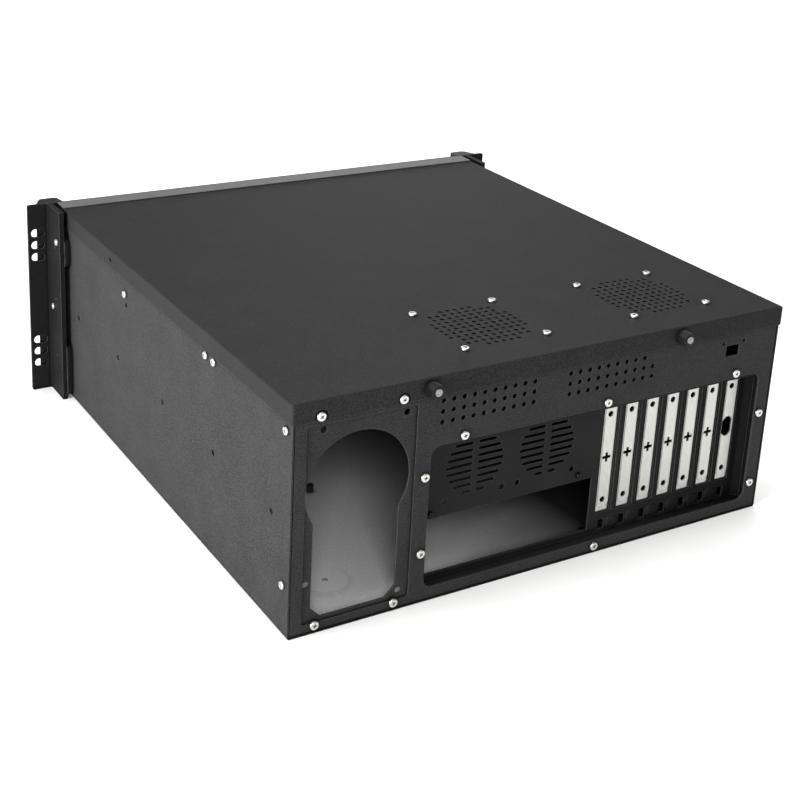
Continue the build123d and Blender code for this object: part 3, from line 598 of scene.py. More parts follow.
slotCover = {
    "sheet": 0.9,
    "panFace": -11.2,       # outer face of the cover lies behind the pan's face
    "halfWidth": 9.21,
    "tailHalf": 5.1, "tailTop": 24.0,
    "tailBottom": 21.6,     # the tongue below this stays hidden behind the pan
    "top": 122.0, "tabEnd": -3.0, "holeRadius": 2.4,
    "holes": (109.3, 37.3),
    "crossAt": 73.3, "crossLong": 7.8, "crossShort": 2.4,
    "panelLeft": 4.6,       # pressed panel, from the cover's middle
    "panelRight": 6.2, "panelTop": 118.4, "panelArc": 6.8, "panelRise": 0.4,
    "port": (-187.2, -177.7, 65.6, 82.7),
    "screwHole": (5.4, -7.0, 1.6),
    "portCorner": 3.0, "panelEdge": 0.3, "bend": 0.8,
}


def slotCoverShape(middle, hasPort):
    s = Settings(**slotCover)
    back, outer, wide = s.panFace - s.sheet, s.panFace, s.halfWidth
    half = [(s.tailHalf, s.tailBottom), (s.tailHalf, s.tailTop), (wide, s.tailTop), (wide, s.top)]
    left, right = ([(middle + side * x, z) for x, z in half] for side in (-1, 1))
    outline = left[:1] + right + left[:0:-1]
    bm = plateOf(outline, back, outer)
    bm = join(bm, shapeOf(addBlock, middle - wide, middle + wide, back, s.tabEnd, s.top - s.sheet, s.top))
    roundAt(bm, s.bend, 3, y=back, z=s.top)

    # The pressed panel stands proud, with a round lower end about the lower hole
    start = acos(s.panelLeft / s.panelArc)
    end = pi - acos(s.panelRight / s.panelArc)
    points = [(middle - s.panelRight, s.panelTop), (middle + s.panelLeft, s.panelTop)]
    steps = 10
    for step in range(steps + 1):
        angle = start + (end - start) * step / steps
        points.append((middle + s.panelArc * cos(angle), s.holes[1] - s.panelArc * sin(angle)))
    panel = plateOf(points, outer - s.panelEdge, outer + s.panelRise)
    roundAt(panel, s.panelEdge, 2, y=outer + s.panelRise)

    holes = rods("Y", [(middle, z) for z in s.holes], back - 1, back + 3, s.holeRadius, 20)
    x, y, radius = s.screwHole
    addRod(holes, (middle + x, y, s.top - 3), "Z", 4, radius)
    tools = [holes]
    if hasPort:
        addPlate(holes, rectangle(*s.port), back - 1, outer + 2, s.portCorner, 1)
    else:
        wings = s.crossLong / 2, s.crossShort / 2
        tools += [shapeOf(addBlock, middle - long, middle + long, back - 1, outer + 2,
                          s.crossAt - short, s.crossAt + short) for long, short in (wings, wings[::-1])]
    return cut(join(bm, panel), *tools)


coverCount = 7
for number in range(1, coverCount + 1):
    node = f"slot_cover_{number}"
    low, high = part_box(node)
    middle = (low.x + high.x) / 2 / mm
    finishPiece(f"slotCover{number}", slotCoverShape(middle, number == coverCount), [node], 30)
print("slot covers")


# Top cover: one folded sheet with two perforated fields

cover = {
    "sheet": 1.2, "half": 215.3, "rear": 1.3, "front": -441.0, "top": 176.0,
    "lip": 15.2, "bend": 1.6,
    "tongueHalf": 195.0, "tongueLength": 8.0,
    "fieldX": (27.4, -126.0), "fieldY": -65.5,
    "pitch": 6.55,
    "fieldReach": 5, "fieldLimit": 33, "holeRadius": 2.05,
    "fanScrewSpacing": 71.5, "fanScrewHole": 2.0,
    "notchX": (193.8, 131.2), "notchZ": 163.7, "notchRadius": 5.2,
    "thumbscrewX": (110.0, -112.0), "thumbscrewZ": 168.4, "thumbscrewHole": 2.0,
    "lipSlot": (-325.7, 167.0, 6.0, 3.0),
}


def topCover():
    c = Settings(**cover)
    low = c.top - c.lip
    bm = shapeOf(addBlock, -c.half, c.half, c.front, c.rear, low, c.top)
    for x in (c.tongueHalf, -c.tongueHalf):
        parts = bm.verts[:] + bm.edges[:] + bm.faces[:]
        bmesh.ops.bisect_plane(bm, geom=parts, plane_co=(x, 0, 0), plane_no=(1, 0, 0))
    openSides = [f for f in bm.faces if f.normal.z < -0.9 or f.normal.y < -0.9]
    bmesh.ops.delete(bm, geom=openSides, context="FACES")
    lip = [edge for edge in edgesAt(bm, y=c.front, z=c.top)
           if all(abs(vert.co.x) < c.tongueHalf + near for vert in edge.verts)]
    for step in ((0, -c.sheet * 0.4, -c.sheet), (0, -c.tongueLength, 0)):
        grown = bmesh.ops.extrude_edge_only(bm, edges=lip)
        moveGrown(bm, grown, step)
        lip = [part for part in grown["geom"] if isinstance(part, bmesh.types.BMEdge)]
    bends = edgesAt(bm, y=c.rear, z=c.top)
    for x in (-c.half, c.half):
        bends += edgesAt(bm, x=x, z=c.top) + edgesAt(bm, x=x, y=c.rear)
    roundOff(bm, bends, c.bend, 4)
    thicken(bm, c.sheet)

    holes, mouths = bmesh.new(), bmesh.new()
    reach = range(-c.fieldReach, c.fieldReach + 1)
    through = c.top - clear, c.top + clear
    for x in c.fieldX:
        field = [(x + i * c.pitch, c.fieldY + j * c.pitch) for i in reach for j in reach
                 if i ** 2 + j ** 2 <= c.fieldLimit]
        addRods(holes, "Z", field, *through, c.holeRadius, 12)
        addRods(holes, "Z", squareSpots(x, c.fieldY, c.fanScrewSpacing), *through, c.fanScrewHole, 12)
    for x in c.notchX:
        addRod(holes, (x, -clear, c.notchZ), "Y", 2 * clear, c.notchRadius, segments=28)
        addBlock(mouths, x - c.notchRadius, x + c.notchRadius, -clear, clear, low - 2, c.notchZ)
    addRods(holes, "Y", [(x, c.thumbscrewZ) for x in c.thumbscrewX], -clear, clear, c.thumbscrewHole)
    y, z, length, height = c.lipSlot
    for x in (-c.half, c.half):
        addBlock(holes, x - clear, x + clear, y - length / 2, y + length / 2, z - height / 2, z + height / 2)
    return cut(bm, holes, mouths)


finishPiece("topCoverSheet", topCover(), ["top_cover"])
print("top cover")


# Rear panel: one sheet with four edges folded forward

rearSheet = {
    "sheet": 1.2, "half": 212.7, "bottom": 1.3, "top": 174.5, "flange": 12.0,
    "bend": 1.4,
    "cornerRelief": 1.1,    # room for the tray's bends
    "flangeRelief": (202.6, 173.1),     # room for the flanges of the tray's walls
    "bayWindow": (-200.2, 106.2, 10.5, 122.0), "bayCorner": 8.0,
    "psuWindow": (118.8, 203.6, 8.5, 157.0), "psuCorner": 2.0,
    "serviceWindow": (-174.1, -160.7, 142.1, 151.0),
    "serviceHoles": ((-157.5, 153.2), (-178.4, 153.2)),
    "ventRadius": 1.95, "ventStart": (98.3, -10.5), "ventTop": 155.9, "ventPitch": (8.55, 8.08),
    "ventCount": (10, 3),
    "screwHole": 2.0, "serviceRadius": 1.5,
}


def bothSides(bm, x0, x1, *rest):
    addBlock(bm, x0, x1, *rest)
    addBlock(bm, -x1, -x0, *rest)


def rearPanel():
    r = Settings(**rearSheet)
    bm = shapeOf(addBlock, -r.half, r.half, -r.flange, 0, r.bottom, r.top)
    bmesh.ops.delete(bm, geom=[f for f in bm.faces if f.normal.y < -0.9], context="FACES")
    roundAt(bm, r.bend, 4, y=0)
    thicken(bm, r.sheet)

    inner, outer, relief = r.half - r.cornerRelief, r.half + 1, r.bottom + r.cornerRelief
    reliefs = shapeOf(bothSides, inner, outer, -r.flange - 1, 1, r.bottom - 1, relief)
    edge, under = r.flangeRelief
    bothSides(reliefs, edge, outer + 1, -r.flange - 2, 2, under, r.top + 1)
    windows = plateOf(rectangle(*r.bayWindow), -clear, clear, r.bayCorner, 8)
    addPlate(windows, rectangle(*r.psuWindow), -clear, clear, r.psuCorner, 4)
    addPlate(windows, rectangle(*r.serviceWindow), -clear, clear)

    columns, rows = r.ventCount
    across, down = r.ventPitch
    vents = [(first - column * across, r.ventTop - row * down)
             for first in r.ventStart for column in range(columns) for row in range(rows)]
    # The second field lacks the last hole of its top row
    vents.remove((r.ventStart[1] - (columns - 1) * across, r.ventTop))
    screws = screwSpots("io_panel_rim_screws", "psu_plate_screws",
                        "thumbscrew_screw_left", "thumbscrew_screw_right")
    return cut(bm, reliefs, windows, rods("Y", vents, -clear, clear, r.ventRadius, 14),
               rods("Y", screws, -clear, clear, r.screwHole, 14),
               rods("Y", r.serviceHoles, -clear, clear, r.serviceRadius, 12))


finishPiece("rearPanelSheet", rearPanel(), ["rear_panel"])
print("rear panel")


# Power supply plate behind the tall opening

plate = {
    "front": -1.2, "back": -2.4,
    "outline": (116.0, 209.0, 3.2, 168.5),
    "corner": 3.0,
    "fanCentre": (162.7, 106.3), "fanRadius": 40.3,
    "slot": (129.6, 196.3, 11.6), "slotChamfer": 8.0,
    "holes": ((126.55, 152.8), (190.55, 152.8), (126.55, 14.8), (200.55, 38.8)),
    "holeRadius": 2.5, "screwHole": 2.0,
}


def supplyPlate():
    p = Settings(**plate)
    right, left, low = p.slot
    chamfer = p.slotChamfer
    x, z = p.fanCentre
    # The outline of the cut: up the left side, round the fan and down the right side
    start = asin((left - x) / p.fanRadius)
    end = 2 * pi - asin((x - right) / p.fanRadius)
    points = [(right, low + chamfer), (right + chamfer, low), (left - chamfer, low), (left, low + chamfer)]
    steps = 64
    for step in range(steps + 1):
        angle = pi - start - (end - start) * step / steps
        points.append((x + p.fanRadius * sin(angle), z + p.fanRadius * cos(angle)))
    bm = plateOf(rectangle(*p.outline), p.back, p.front, p.corner)
    through = p.back - 1, p.front + 1
    return cut(bm, plateOf(points, *through),
               rods("Y", p.holes, *through, p.holeRadius, 20),
               rods("Y", screwSpots("psu_plate_screws"), *through, p.screwHole, 14))


finishPiece("supplyPlateSheet", supplyPlate(), ["psu_plate"])
print("power supply plate")


# Recessed pan with the connector window, two grilles and the card slots

pan = {
    "sheet": 1.2, "floor": -10.0, "lip": -1.2, "left": 114.0, "right": -200.2,
    "slope": 4.8, "bottom": 10.5, "top": 130.0, "stepX": -42.0, "ledge": 119.9,
    "fold": 1.0,
    "rim": (-208.5, 115.2, 3.7, 131.2),
    "rimHoles": ((-200.2, 106.7, 10.5, 121.1), (-42.0, 106.7, 10.5, 122.5)),
    "window": (-47.5, 111.25, 14.9, 59.35), "windowCorner": 1.0,
    "grilleX": (61.35, -2.45), "grilleZ": 96.0, "grilleRadius": 24.9, "grillePitch": 5.43,
    "grilleSlot": 2.4, "grilleBridge": 4.6, "grilleRows": 4,
    "fanHole": 2.25, "fanSpacing": 50.0,
    "slotFirst": -60.8, "slotPitch": 20.32, "slotCount": 7, "slotWidth": 12.8,
    "slotHeights": (27.0, 118.2), "slotCorner": 1.2,
    "tailWidth": 5.6, "tailHeights": (12.4, 20.4),
    "bossRadius": 6.2, "bossRise": 1.4, "bossTop": 4.6, "bossZ": 16.6, "bossEdge": 0.7,
    "ribHalf": 1.6, "ribRise": 0.5, "ribEdge": 0.45,
    "coverScrew": (5.4, -7.0, 1.6),
    "smallHole": 1.6, "rimHole": 2.0,
}


def panTub():
    # Floor and walls of the recess as one sheet, seen from the rear
    p = Settings(**pan)
    bm = bmesh.new()
    rings = []
    for y, lean in ((p.floor, p.slope), (p.floor + p.slope, 0), (p.lip, 0)):
        right = p.right + lean
        corners = ((right, p.bottom), (p.left, p.bottom), (p.left, p.top),
                   (p.stepX, p.top), (p.stepX, p.ledge), (right, p.ledge))
        rings.append([bm.verts.new((x, y, z)) for x, z in corners])
    bm.faces.new(rings[0])
    addWalls(bm, rings)
    roundAt(bm, p.fold, 3, y=p.floor)
    thicken(bm, p.sheet, (0, 1, 0))
    return bm


def grilleCutter(middle):
    # Rows of slots with round ends, parted by a bridge down the middle
    p = Settings(**pan)
    bm = bmesh.new()
    high = p.grilleSlot / 2
    for row in range(-p.grilleRows, p.grilleRows + 1):
        rise = row * p.grillePitch
        half = sqrt(p.grilleRadius ** 2 - (abs(rise) + high) ** 2)
        for side in (-1, 1):
            x0, x1 = sorted((middle + side * p.grilleBridge / 2, middle + side * half))
            z = p.grilleZ + rise
            addPlate(bm, rectangle(x0, x1, z - high, z + high), p.floor - 3, p.floor + 1, high * slotEnd, 4)
    return bm


def ioPan():
    p = Settings(**pan)
    through, atRim = (p.floor - 3, p.floor + 1), (p.lip - 3, p.lip + 1)
    middles = [p.slotFirst - i * p.slotPitch for i in range(p.slotCount)]
    rim = plateOf(rectangle(*p.rim), p.lip - p.sheet, p.lip)
    rim = cut(rim, *(plateOf(rectangle(*hole), *atRim) for hole in p.rimHoles))
    slots = plateOf(rectangle(*p.window), *through, p.windowCorner, 3)
    for x in middles:
        half, tail = p.slotWidth / 2, p.tailWidth / 2
        addPlate(slots, rectangle(x - half, x + half, *p.slotHeights), *through, p.slotCorner, 3)
        addPlate(slots, rectangle(x - tail, x + tail, *p.tailHeights), *through)
    fanHoles = [spot for x in p.grilleX for spot in squareSpots(x, p.grilleZ, p.fanSpacing)]
    x, y, radius = p.coverScrew
    coverHoles = [(middle + x, y) for middle in middles]
    bm = cut(join(panTub(), rim), slots, *(grilleCutter(x) for x in p.grilleX),
             rods("Y", fanHoles, *through, p.fanHole),
             rods("Y", screwSpots("io_panel_small_screws"), *through, p.smallHole, 12),
             rods("Y", screwSpots("io_panel_rim_screws"), *atRim, p.rimHole, 14),
             rods("Z", coverHoles, p.ledge - 2, p.ledge + 3, radius, 12))

    # Pressed bosses between the slots' tails, and a ridge between the slots
    raised = bmesh.new()
    sunk = p.floor - p.sheet / 2
    bossFace, ribFace = p.floor + p.bossRise, p.floor + p.ribRise
    for middle in middles[1:]:
        x = middle + p.slotPitch / 2
        addRod(raised, (x, sunk, p.bossZ), "Y", bossFace - sunk, p.bossRadius, p.bossTop, 36)
        addPlate(raised, rectangle(x - p.ribHalf, x + p.ribHalf, *p.slotHeights), sunk, ribFace)
    roundAt(raised, p.bossEdge, 3, y=bossFace)
    roundAt(raised, p.ribEdge, 2, y=ribFace)
    return join(bm, raised)


finishPiece("recessedPanSheet", ioPan(), ["io_panel"], 32)
print("recessed pan")


# Chassis tray: floor and side walls folded from one sheet, with pressed foot seats

tray = {
    "sheet": 1.2, "half": 214.0, "top": 174.5, "mouth": 202.8, "front": -459.5,
    "bend": 2.2,
    "seatX": 156.5, "seatY": (-53.0, -405.0), "seatRadius": 20.5, "seatTop": 16.8,
    "seatRise": 1.5, "seatHole": 2.2,
    "railHoles": tuple((-27.8 - 95.2 * i, 85.0, 2.2) for i in range(5)) + ((-294.0, 138.4, 2.0),),
    "earHole": (-434.5, 148.7, 1.55),
    "screwHole": 1.55,
}


def chassisTray():
    t = Settings(**tray)
    bm = bmesh.new()
    points = ((-t.mouth, t.top), (-t.half, t.top), (-t.half, 0),
              (t.half, 0), (t.half, t.top), (t.mouth, t.top))
    verts = [bm.verts.new((x, 0, z)) for x, z in points]
    edges = [bm.edges.new(pair) for pair in zip(verts, verts[1:])]
    moveGrown(bm, bmesh.ops.extrude_edge_only(bm, edges=edges), (0, t.front, 0))
    roundOff(bm, edgesAt(bm, "y", x=-t.half) + edgesAt(bm, "y", x=t.half), t.bend, 5)
    thicken(bm, t.sheet, (0, 0, -1))

    half = t.sheet / 2
    for x in (-t.seatX, t.seatX):
        for y in t.seatY:
            dome = shapeOf(addRod, (x, y, half), "Z", t.seatRise + half, t.seatRadius - 0.4, t.seatTop, 48)
            hollow = shapeOf(addRod, (x, y, -1), "Z", t.seatRise + 1, t.seatRadius - 0.6, t.seatTop - 1, 48)
            hole = shapeOf(addRod, (x, y, -1), "Z", 6, t.seatHole, segments=20)
            bm = cut(join(bm, dome), hollow, hole)

    spots = [((low.y + high.y) / 2, (low.z + high.z) / 2, t.screwHole)
             for low, high in looseParts("side_screws") if low.x > 0]
    holes = bmesh.new()
    for y, z, radius in (*t.railHoles, t.earHole, *spots):
        addRod(holes, (-t.half - 2, y, z), "X", 2 * t.half + 4, radius)
    return cut(bm, holes)


finishPiece("chassisTraySheet", chassisTray(), ["chassis_tray"])
print("chassis tray")


# Captive thumbscrews: fluted nylon knob with a knurled steel end

thumbscrew = {
    "places": {"left": 110.0, "right": -112.0},
    "z": 168.4, "seat": 1.3,
    "knobRadius": 5.3, "knobLength": 9.0, "flutes": 28, "fluteDepth": 0.35,
    "dishRadius": 3.05, "dishDepth": 0.8,
    "tipRadius": 2.95, "tipRise": 0.8, "tipFlutes": 16, "tipFluteDepth": 0.25,
    "play": 0.05, "shank": 1.9, "reach": 5.0,
}


def fluted(x, z, y0, y1, radius, flutes, depth):
    turns = [(pi * i / flutes, radius - (i % 2) * depth) for i in range(2 * flutes)]
    bm = plateOf([(x + r * cos(a), z + r * sin(a)) for a, r in turns], y0, y1)
    roundAt(bm, depth, 2, y=y1)
    return bm


def thumbscrewKnob(x):
    t = Settings(**thumbscrew)
    end = t.seat + t.knobLength
    return cut(fluted(x, t.z, t.seat, end, t.knobRadius, t.flutes, t.fluteDepth),
               shapeOf(addRod, (x, end - t.dishDepth, t.z), "Y", 3, t.dishRadius, segments=32),
               shapeOf(addRod, (x, t.seat - 1, t.z), "Y", t.knobLength + 3, t.shank + t.play))


def thumbscrewPin(x):
    t = Settings(**thumbscrew)
    end = t.seat + t.knobLength
    tip = fluted(x, t.z, end - t.dishDepth, end + t.tipRise, t.tipRadius, t.tipFlutes, t.tipFluteDepth)
    return join(tip, shapeOf(addRod, (x, -t.reach, t.z), "Y", end + t.reach - 0.2, t.shank))


for side, x in thumbscrew["places"].items():
    finishPiece(f"thumbscrewKnob_{side}", thumbscrewKnob(x), [f"thumbscrew_knob_{side}"], 30)
    finishPiece(f"thumbscrewPin_{side}", thumbscrewPin(x), [f"thumbscrew_screw_{side}"], 30)
print("thumbscrews")


# Front: pierced panel, drive bay covers, controls, columns and rack ears

front = {
    "face": -461.5, "sheet": 2.0, "half": 218.9, "height": 177.0, "edge": 0.6,
    "bays": (-204.0, -56.0, 25.0, 152.5),
    "slotHeights": (27.0, 107.0), "slotWidth": 5.0, "slotPitch": 11.5, "slotCount": 19,
    "slotMiddle": 76.0, "controlZ": 140.0,
    "powerX": 168.0, "powerRadius": 7.0,
    "resetX": 144.0, "resetRadius": 3.0, "buttonGap": 0.3,
    "lensX": (126.0, 114.0), "lensHole": 1.55,
    "socketX": (90.0, 66.0), "socketSize": (13.5, 6.0),
}


def frontPanel():
    f = Settings(**front)
    y0, y1 = f.face, f.face + f.sheet
    through = y0 - 1, y1 + 1
    bm = plateOf(rectangle(-f.half, f.half, 0, f.height), y0, y1)
    roundAt(bm, f.edge, 3, y=y0)
    cuts = plateOf(rectangle(*f.bays), *through)
    half = f.slotWidth / 2
    for i in range(f.slotCount):
        x = f.slotMiddle + (i - (f.slotCount - 1) / 2) * f.slotPitch
        addPlate(cuts, rectangle(x - half, x + half, *f.slotHeights), *through, half * slotEnd, 6)
    width, height = f.socketSize
    for x in f.socketX:
        addPlate(cuts, around(x, f.controlZ, width / 2, height / 2), *through)
    gap = f.buttonGap
    controls = [(f.powerX, f.powerRadius + gap), (f.resetX, f.resetRadius + gap)]
    controls += [(x, f.lensHole) for x in f.lensX]
    return cut(bm, cuts, *(rods("Y", [(x, f.controlZ)], *through, radius, 40)
                           for x, radius in controls))


finishPiece("frontPanelSheet", frontPanel(), ["front_panel"])


bayCover = {
    "skin": 3.0, "edge": 0.8,
    "grooveHalf": 1.0, "grooveDepth": 0.5,
    "tabSheet": 1.2, "tabEnd": -441.5, "tabRound": 4.0,
}


def bayCoverShape(node):
    c = Settings(**bayCover)
    low, high = boxOf(node)
    face = low.y
    quarter, middle = (high.z - low.z) / 4, (low.z + high.z) / 2
    bm = plateOf(rectangle(low.x, high.x, low.z, high.z), face, face + c.skin, 1.0, 3)
    roundAt(bm, c.edge, 3, y=face)
    grooves = bmesh.new()
    for z in (low.z + quarter, high.z - quarter):
        # A groove with sloped sides across the cover
        points = ((face - 0.1, z - c.grooveHalf), (face + c.grooveDepth, z - c.grooveHalf / 2),
                  (face + c.grooveDepth, z + c.grooveHalf / 2), (face - 0.1, z + c.grooveHalf))
        ends = [[grooves.verts.new((x, y, height)) for y, height in points] for x in (low.x - 1, high.x + 1)]
        addWalls(grooves, ends)
        for end in ends:
            grooves.faces.new(end)
    faceOutward(grooves)
    tabs = bmesh.new()
    for x in (low.x, high.x - c.tabSheet):
        addBlock(tabs, x, x + c.tabSheet, face + c.skin - 0.3, c.tabEnd, middle - quarter, middle + quarter)
    roundAt(tabs, c.tabRound, 5, "x", y=c.tabEnd)
    return join(cut(bm, grooves), tabs)


for number in range(1, 4):
    node = f"bay_cover_{number}"
    finishPiece(f"bayCover{number}", bayCoverShape(node), [node])


control = {
    "dome": 0.8,
    "collar": 1.2, "collarDepth": 1.4, "behind": -459.2, "sunk": 0.2,
    "lensDome": 0.45,
}


def buttonShape(node):
    # A button with a rounded cap, a collar behind the panel and a stem
    c = Settings(**control)
    low, high = boxOf(node)
    x, z = (low.x + high.x) / 2, (low.z + high.z) / 2
    radius = (high.x - low.x) / 2 - c.collar
    bm = rods("Y", [(x, z)], low.y, c.behind + c.sunk, radius, 40)
    roundAt(bm, c.dome, 4, y=low.y)
    end = c.behind + c.collarDepth
    return join(bm, rods("Y", [(x, z)], c.behind, end, radius + c.collar, 40),
                rods("Y", [(x, z)], end - c.sunk, high.y, radius / 2, 24))


for node in ("power_button", "reset_button"):
    finishPiece(node.replace("_b", "B"), buttonShape(node), [node])


def lensShape(node):
    low, high = boxOf(node)
    spots = [((low.x + high.x) / 2, (low.z + high.z) / 2)]
    bm = rods("Y", spots, low.y, high.y, (high.x - low.x) / 2, 24)
    roundAt(bm, control["lensDome"], 3, y=low.y)
    return bm


for node in ("power_lens", "disk_lens"):
    finishPiece(node.replace("_l", "L"), lensShape(node), [node])


column = {
    "base": (208.0, 233.0),
    "face": (210.0, 226.0),
    "depth": 13.5, "frontRound": 3.0, "edge": 0.7,
}


def columnShape(sign):
    c = Settings(**column)
    back, nose = front["face"], front["face"] - c.depth
    outline = ((c.base[0], back), (c.base[1], back), (c.face[1], nose), (c.face[0], nose))
    bm = bmesh.new()
    foot = bm.faces.new([bm.verts.new((sign * x, y, 0)) for x, y in outline])
    moveGrown(bm, bmesh.ops.extrude_face_region(bm, geom=[foot]), (0, 0, front["height"]))
    faceOutward(bm)
    roundAt(bm, c.frontRound, 6, "z", y=nose)
    atBack = edgesAt(bm, y=back)
    rims = edgesAt(bm, z=0) + edgesAt(bm, z=front["height"])
    roundOff(bm, [edge for edge in rims if edge not in atBack], c.edge, 3)
    return bm


ear = {
    "flange": (219.0, 223.2),
    "edge": 241.3, "corner": 2.0, "flangeRear": -428.5, "bend": 1.2,
    "slotX": 232.55, "slotHalf": (6.0, 3.8), "slotCentres": (37.7, 139.3), "slotStep": 11.2,
    "wall": 214.05,
    "tabs": ((4.0, 52.0), (126.0, 152.0)),
    "tabDepth": (-455.0, -426.5), "tabRound": 6.0,
    "screws": ((-434.5, 148.7), (-448.0, 84.3)),
    "screwHole": 1.55,
    "holes": ((-434.5, 140.7), (-436.0, 28.5)),
    "holeRadius": 1.7,
    "rivets": ((-442.0, 141.5), (-442.0, 92.5), (-442.0, 38.8)),
    "rivetRadius": 1.5, "rivetRise": 0.6,
}


def rackEar(sign):
    e = Settings(**ear)
    face, back = front["face"], front["face"] + front["sheet"]
    inner, outer = e.flange
    bm = plateOf(rectangle(inner, e.edge, 0, front["height"]), face, back)
    roundAt(bm, e.corner, 5, "y", x=e.edge)
    bm = join(bm, shapeOf(addBlock, inner, outer, face, e.flangeRear, 0, front["height"]))
    roundAt(bm, e.bend, 4, "z", x=outer, y=back)
    roundAt(bm, e.bend, 4, "z", x=inner, y=face)
    for low, high in e.tabs:
        tab = shapeOf(addBlock, e.wall, inner + 0.3, *e.tabDepth, low, high)
        roundAt(tab, e.tabRound, 6, "x", y=e.tabDepth[1])
        bm = join(bm, tab)
    slots = bmesh.new()
    long, short = e.slotHalf
    for centre in e.slotCentres:
        for step in (-1, 0, 1):
            outline = around(e.slotX, centre + step * e.slotStep, long, short)
            addPlate(slots, outline, face - 1, back + 1, short * slotEnd, 8)
    holes = rods("X", e.screws, e.wall - 1, outer + 1, e.screwHole)
    addRods(holes, "X", e.holes, e.wall - 1, outer + 1, e.holeRadius)
    rivets = bmesh.new()
    for y, z in e.rivets:
        addRod(rivets, (outer - 0.5, y, z), "X", 0.5 + e.rivetRise, e.rivetRadius, e.rivetRadius * 0.7)
    bm = join(cut(bm, slots, holes), rivets)
    if sign < 0:
        bmesh.ops.scale(bm, vec=(-1, 1, 1), verts=bm.verts)
        bmesh.ops.reverse_faces(bm, faces=bm.faces)
    return bm


for side, sign in (("left", 1), ("right", -1)):
    finishPiece(f"frontColumn_{side}", columnShape(sign), [f"front_column_{side}"])
    finishPiece(f"rackEar_{side}", rackEar(sign), [f"rack_ear_{side}"])
print("front")


# Fans under the vent fields: moulded frame with a waist, and a rotor with twisted blades

fan = {
    "places": {"left": 27.4, "right": -126.0},
    "y": -65.5, "top": 174.8, "size": 80.0, "height": 25.0, "corner": 4.0,
    "bore": 38.0, "flange": 4.0, "tube": 39.5,
    "holeSpacing": 71.5, "holeRadius": 2.0,
    "strutWidth": 4.0, "strutHeight": 3.0, "motor": 16.0,
    "hub": 17.0, "hubEdge": 1.5, "blades": 7,
    "bladeTip": 36.2, "bladeRoot": 16.0, "bladeThickness": 1.3, "rootTurn": 52.0,
    "tipTurn": 30.0, "gap": 0.4, "shaft": 1.5, "play": 0.05,
}


def fanFrame(x):
    f = Settings(**fan)
    half, spot = f.size / 2, [(x, f.y)]
    bottom, low = f.top - f.height, f.top - f.strutHeight
    through = bottom - 1, f.top + 1
    bm = bmesh.new()
    for z in (bottom, f.top - f.flange):
        addBlock(bm, x - half, x + half, f.y - half, f.y + half, z, z + f.flange)
    roundAt(bm, f.corner, 5, "z")
    bm = join(bm, rods("Z", spot, bottom + 0.5, f.top - 0.5, f.tube, 64))
    bm = cut(bm, rods("Z", spot, *through, f.bore, 64),
             rods("Z", squareSpots(x, f.y, f.holeSpacing), *through, f.holeRadius, 14))
    reach, wide = f.bore + 0.5, f.strutWidth / 2
    for turn in (45, 135):
        strut = shapeOf(addBlock, -reach, reach, -wide, wide, low, f.top - 0.02)
        place = Matrix.Translation((x, f.y, 0)) @ Matrix.Rotation(radians(turn), 4, "Z")
        bmesh.ops.transform(strut, matrix=place, verts=strut.verts)
        bm = join(bm, strut)
    bm = join(bm, rods("Z", spot, low, f.top, f.motor, 48))
    return cut(bm, rods("Z", spot, low - 1, f.top + 1, f.shaft + f.play))


def fanRotor(x):
    f = Settings(**fan)
    top, bottom = f.top - f.strutHeight - f.gap, f.top - f.height + f.gap
    bm = shapeOf(addRod, (0, 0, bottom), "Z", top - bottom, f.hub, segments=48)
    roundAt(bm, f.hubEdge, 4, z=bottom)
    middle, half = Vector((0, 0, (top + bottom) / 2)), (top - bottom) / 2 - 0.5
    steps = 6
    for number in range(f.blades):
        # Sections from root to tip turn flatter, and each blade sweeps forward a little
        spin = Matrix.Rotation(2 * pi * number / f.blades, 3, "Z")
        rings = []
        for step in range(steps + 1):
            share = step / steps
            reach = f.bladeRoot + (f.bladeTip - f.bladeRoot) * share
            turn = radians(f.rootTurn + (f.tipTurn - f.rootTurn) * share)
            halfLength = half / max(sin(turn), sin(radians(f.rootTurn))) * 0.97
            along = Vector((0, cos(turn), sin(turn))) * halfLength
            off = Vector((0, -sin(turn), cos(turn))) * f.bladeThickness / 2
            centre = Vector((sqrt(max(reach ** 2 - along.y ** 2, 1)), 0, 0))
            corners = (-along - off, along - off, along + off, -along + off)
            rings.append([bm.verts.new(spin @ (centre + corner) + middle) for corner in corners])
        addWalls(bm, rings)
        bm.faces.new(rings[0])
        bm.faces.new(rings[-1])
    addRod(bm, (0, 0, top - 0.2), "Z", f.top - f.gap - top + 0.2, f.shaft)
    faceOutward(bm)
    bmesh.ops.translate(bm, verts=bm.verts, vec=(x, f.y, 0))
    return bm


for side, x in fan["places"].items():
    finishPiece(f"fanFrameMoulded_{side}", fanFrame(x), [f"fan_frame_{side}"])
    finishPiece(f"fanRotorMoulded_{side}", fanRotor(x), [f"fan_rotor_{side}"])
print("fans")


# Floor, light and camera

studio = {
    "floorHalf": 6.0, "floorColour": "#f4f4f3", "worldColour": "#ffffff",
    "worldStrength": 0.22,
}

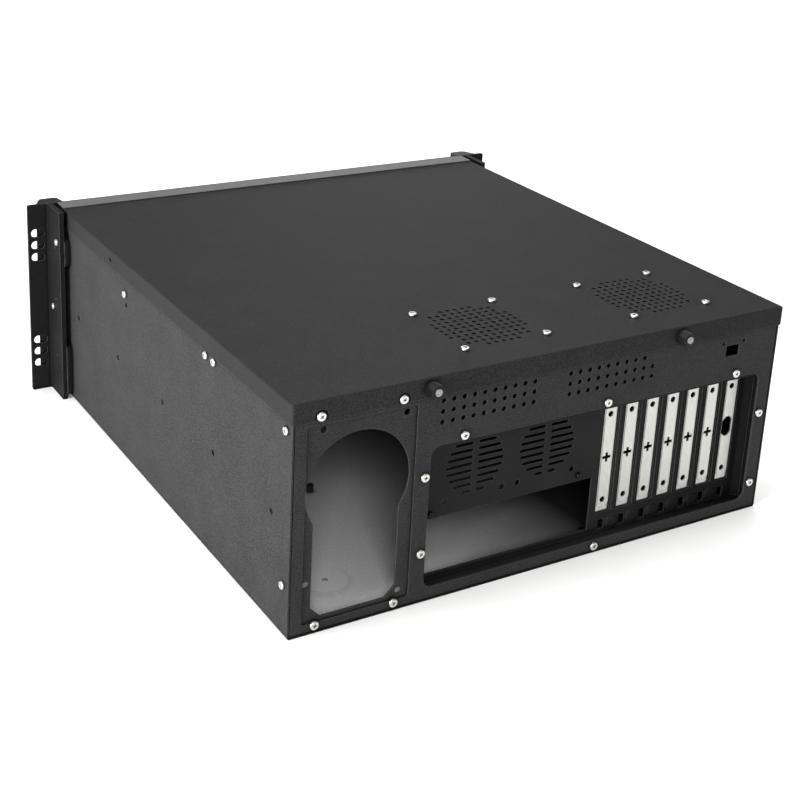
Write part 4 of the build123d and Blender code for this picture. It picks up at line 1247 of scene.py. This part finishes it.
lamps = {
    # name: place and target in metres, size in metres, power in watts
    "keyLeft": ((2.5, 0.5, 0.55), (0.1, 0, 0.08), (1.4, 0.9), 120),
    "overhead": ((0.1, -0.6, 2.6), (0, 0, 0.0), (3.0, 3.0), 98),
    "farFloor": ((-2.2, -2.0, 2.6), (-2.2, -2.0, 0), (2.0, 2.0), 40),
    "frontFill": ((-1.4, -2.4, 0.3), (0, -0.2, 0.1), (1.0, 0.5), 9),
    "rearFill": ((1.1, 2.1, 1.3), (0, 0.1, 0.05), (0.7, 0.7), 29),
}

cameraView = {
    "place": (620.7, 771.4, 585.0),     # drawing millimetres
    "azimuth": 148.1, "elevation": 18.7, "roll": 3.0, "lens": 67.2, "shiftY": -0.2,
}


def layFloor():
    bm = shapeOf(bmesh.ops.create_grid, x_segments=1, y_segments=1, size=studio["floorHalf"])
    floor = asObject("floor", bm)
    material, tree, shader = startMaterial("paperFloor", Roughness=0.9, Specular_IOR_Level=0.2)
    shade = grainNoise(tree, 40.0)
    tree.links.new(twoTone(tree, shade, studio["floorColour"], "#f7f7f6"), shader.inputs["Base Color"])
    floor.data.materials.append(material)


def hangLamps():
    for name, (place, target, size, power) in lamps.items():
        light = bpy.data.lights.new(name, "AREA")
        light.shape = "RECTANGLE"
        light.size, light.size_y = size
        light.energy = power
        lamp = bpy.data.objects.new(name, light)
        lamp.location = place
        aim = Vector(target) - Vector(place)
        lamp.rotation_euler = aim.to_track_quat("-Z", "Y").to_euler()
        scene.collection.objects.link(lamp)


def setCamera():
    azimuth, elevation = (radians(cameraView[key]) for key in ("azimuth", "elevation"))
    back = Vector((sin(azimuth) * cos(elevation), -cos(azimuth) * cos(elevation),
                   sin(elevation)))
    data = bpy.data.cameras.new("camera")
    data.lens = cameraView["lens"]
    data.shift_y = cameraView["shiftY"]
    data.clip_start, data.clip_end = 0.05, 50
    camera = bpy.data.objects.new("camera", data)
    level = (-back).to_track_quat("-Z", "Y").to_matrix().to_4x4()
    place = Matrix.Translation(toFrame @ Vector(cameraView["place"]))
    camera.matrix_world = place @ level @ Matrix.Rotation(radians(cameraView["roll"]), 4, "Z")
    scene.collection.objects.link(camera)
    scene.camera = camera


world = bpy.data.worlds.new("studio")
world.use_nodes = True
background = world.node_tree.nodes["Background"]
background.inputs["Color"].default_value = linear(studio["worldColour"])
background.inputs["Strength"].default_value = studio["worldStrength"]
scene.world = world
scene.view_settings.view_transform = "Standard"
layFloor()
hangLamps()
setCamera()
print("studio")
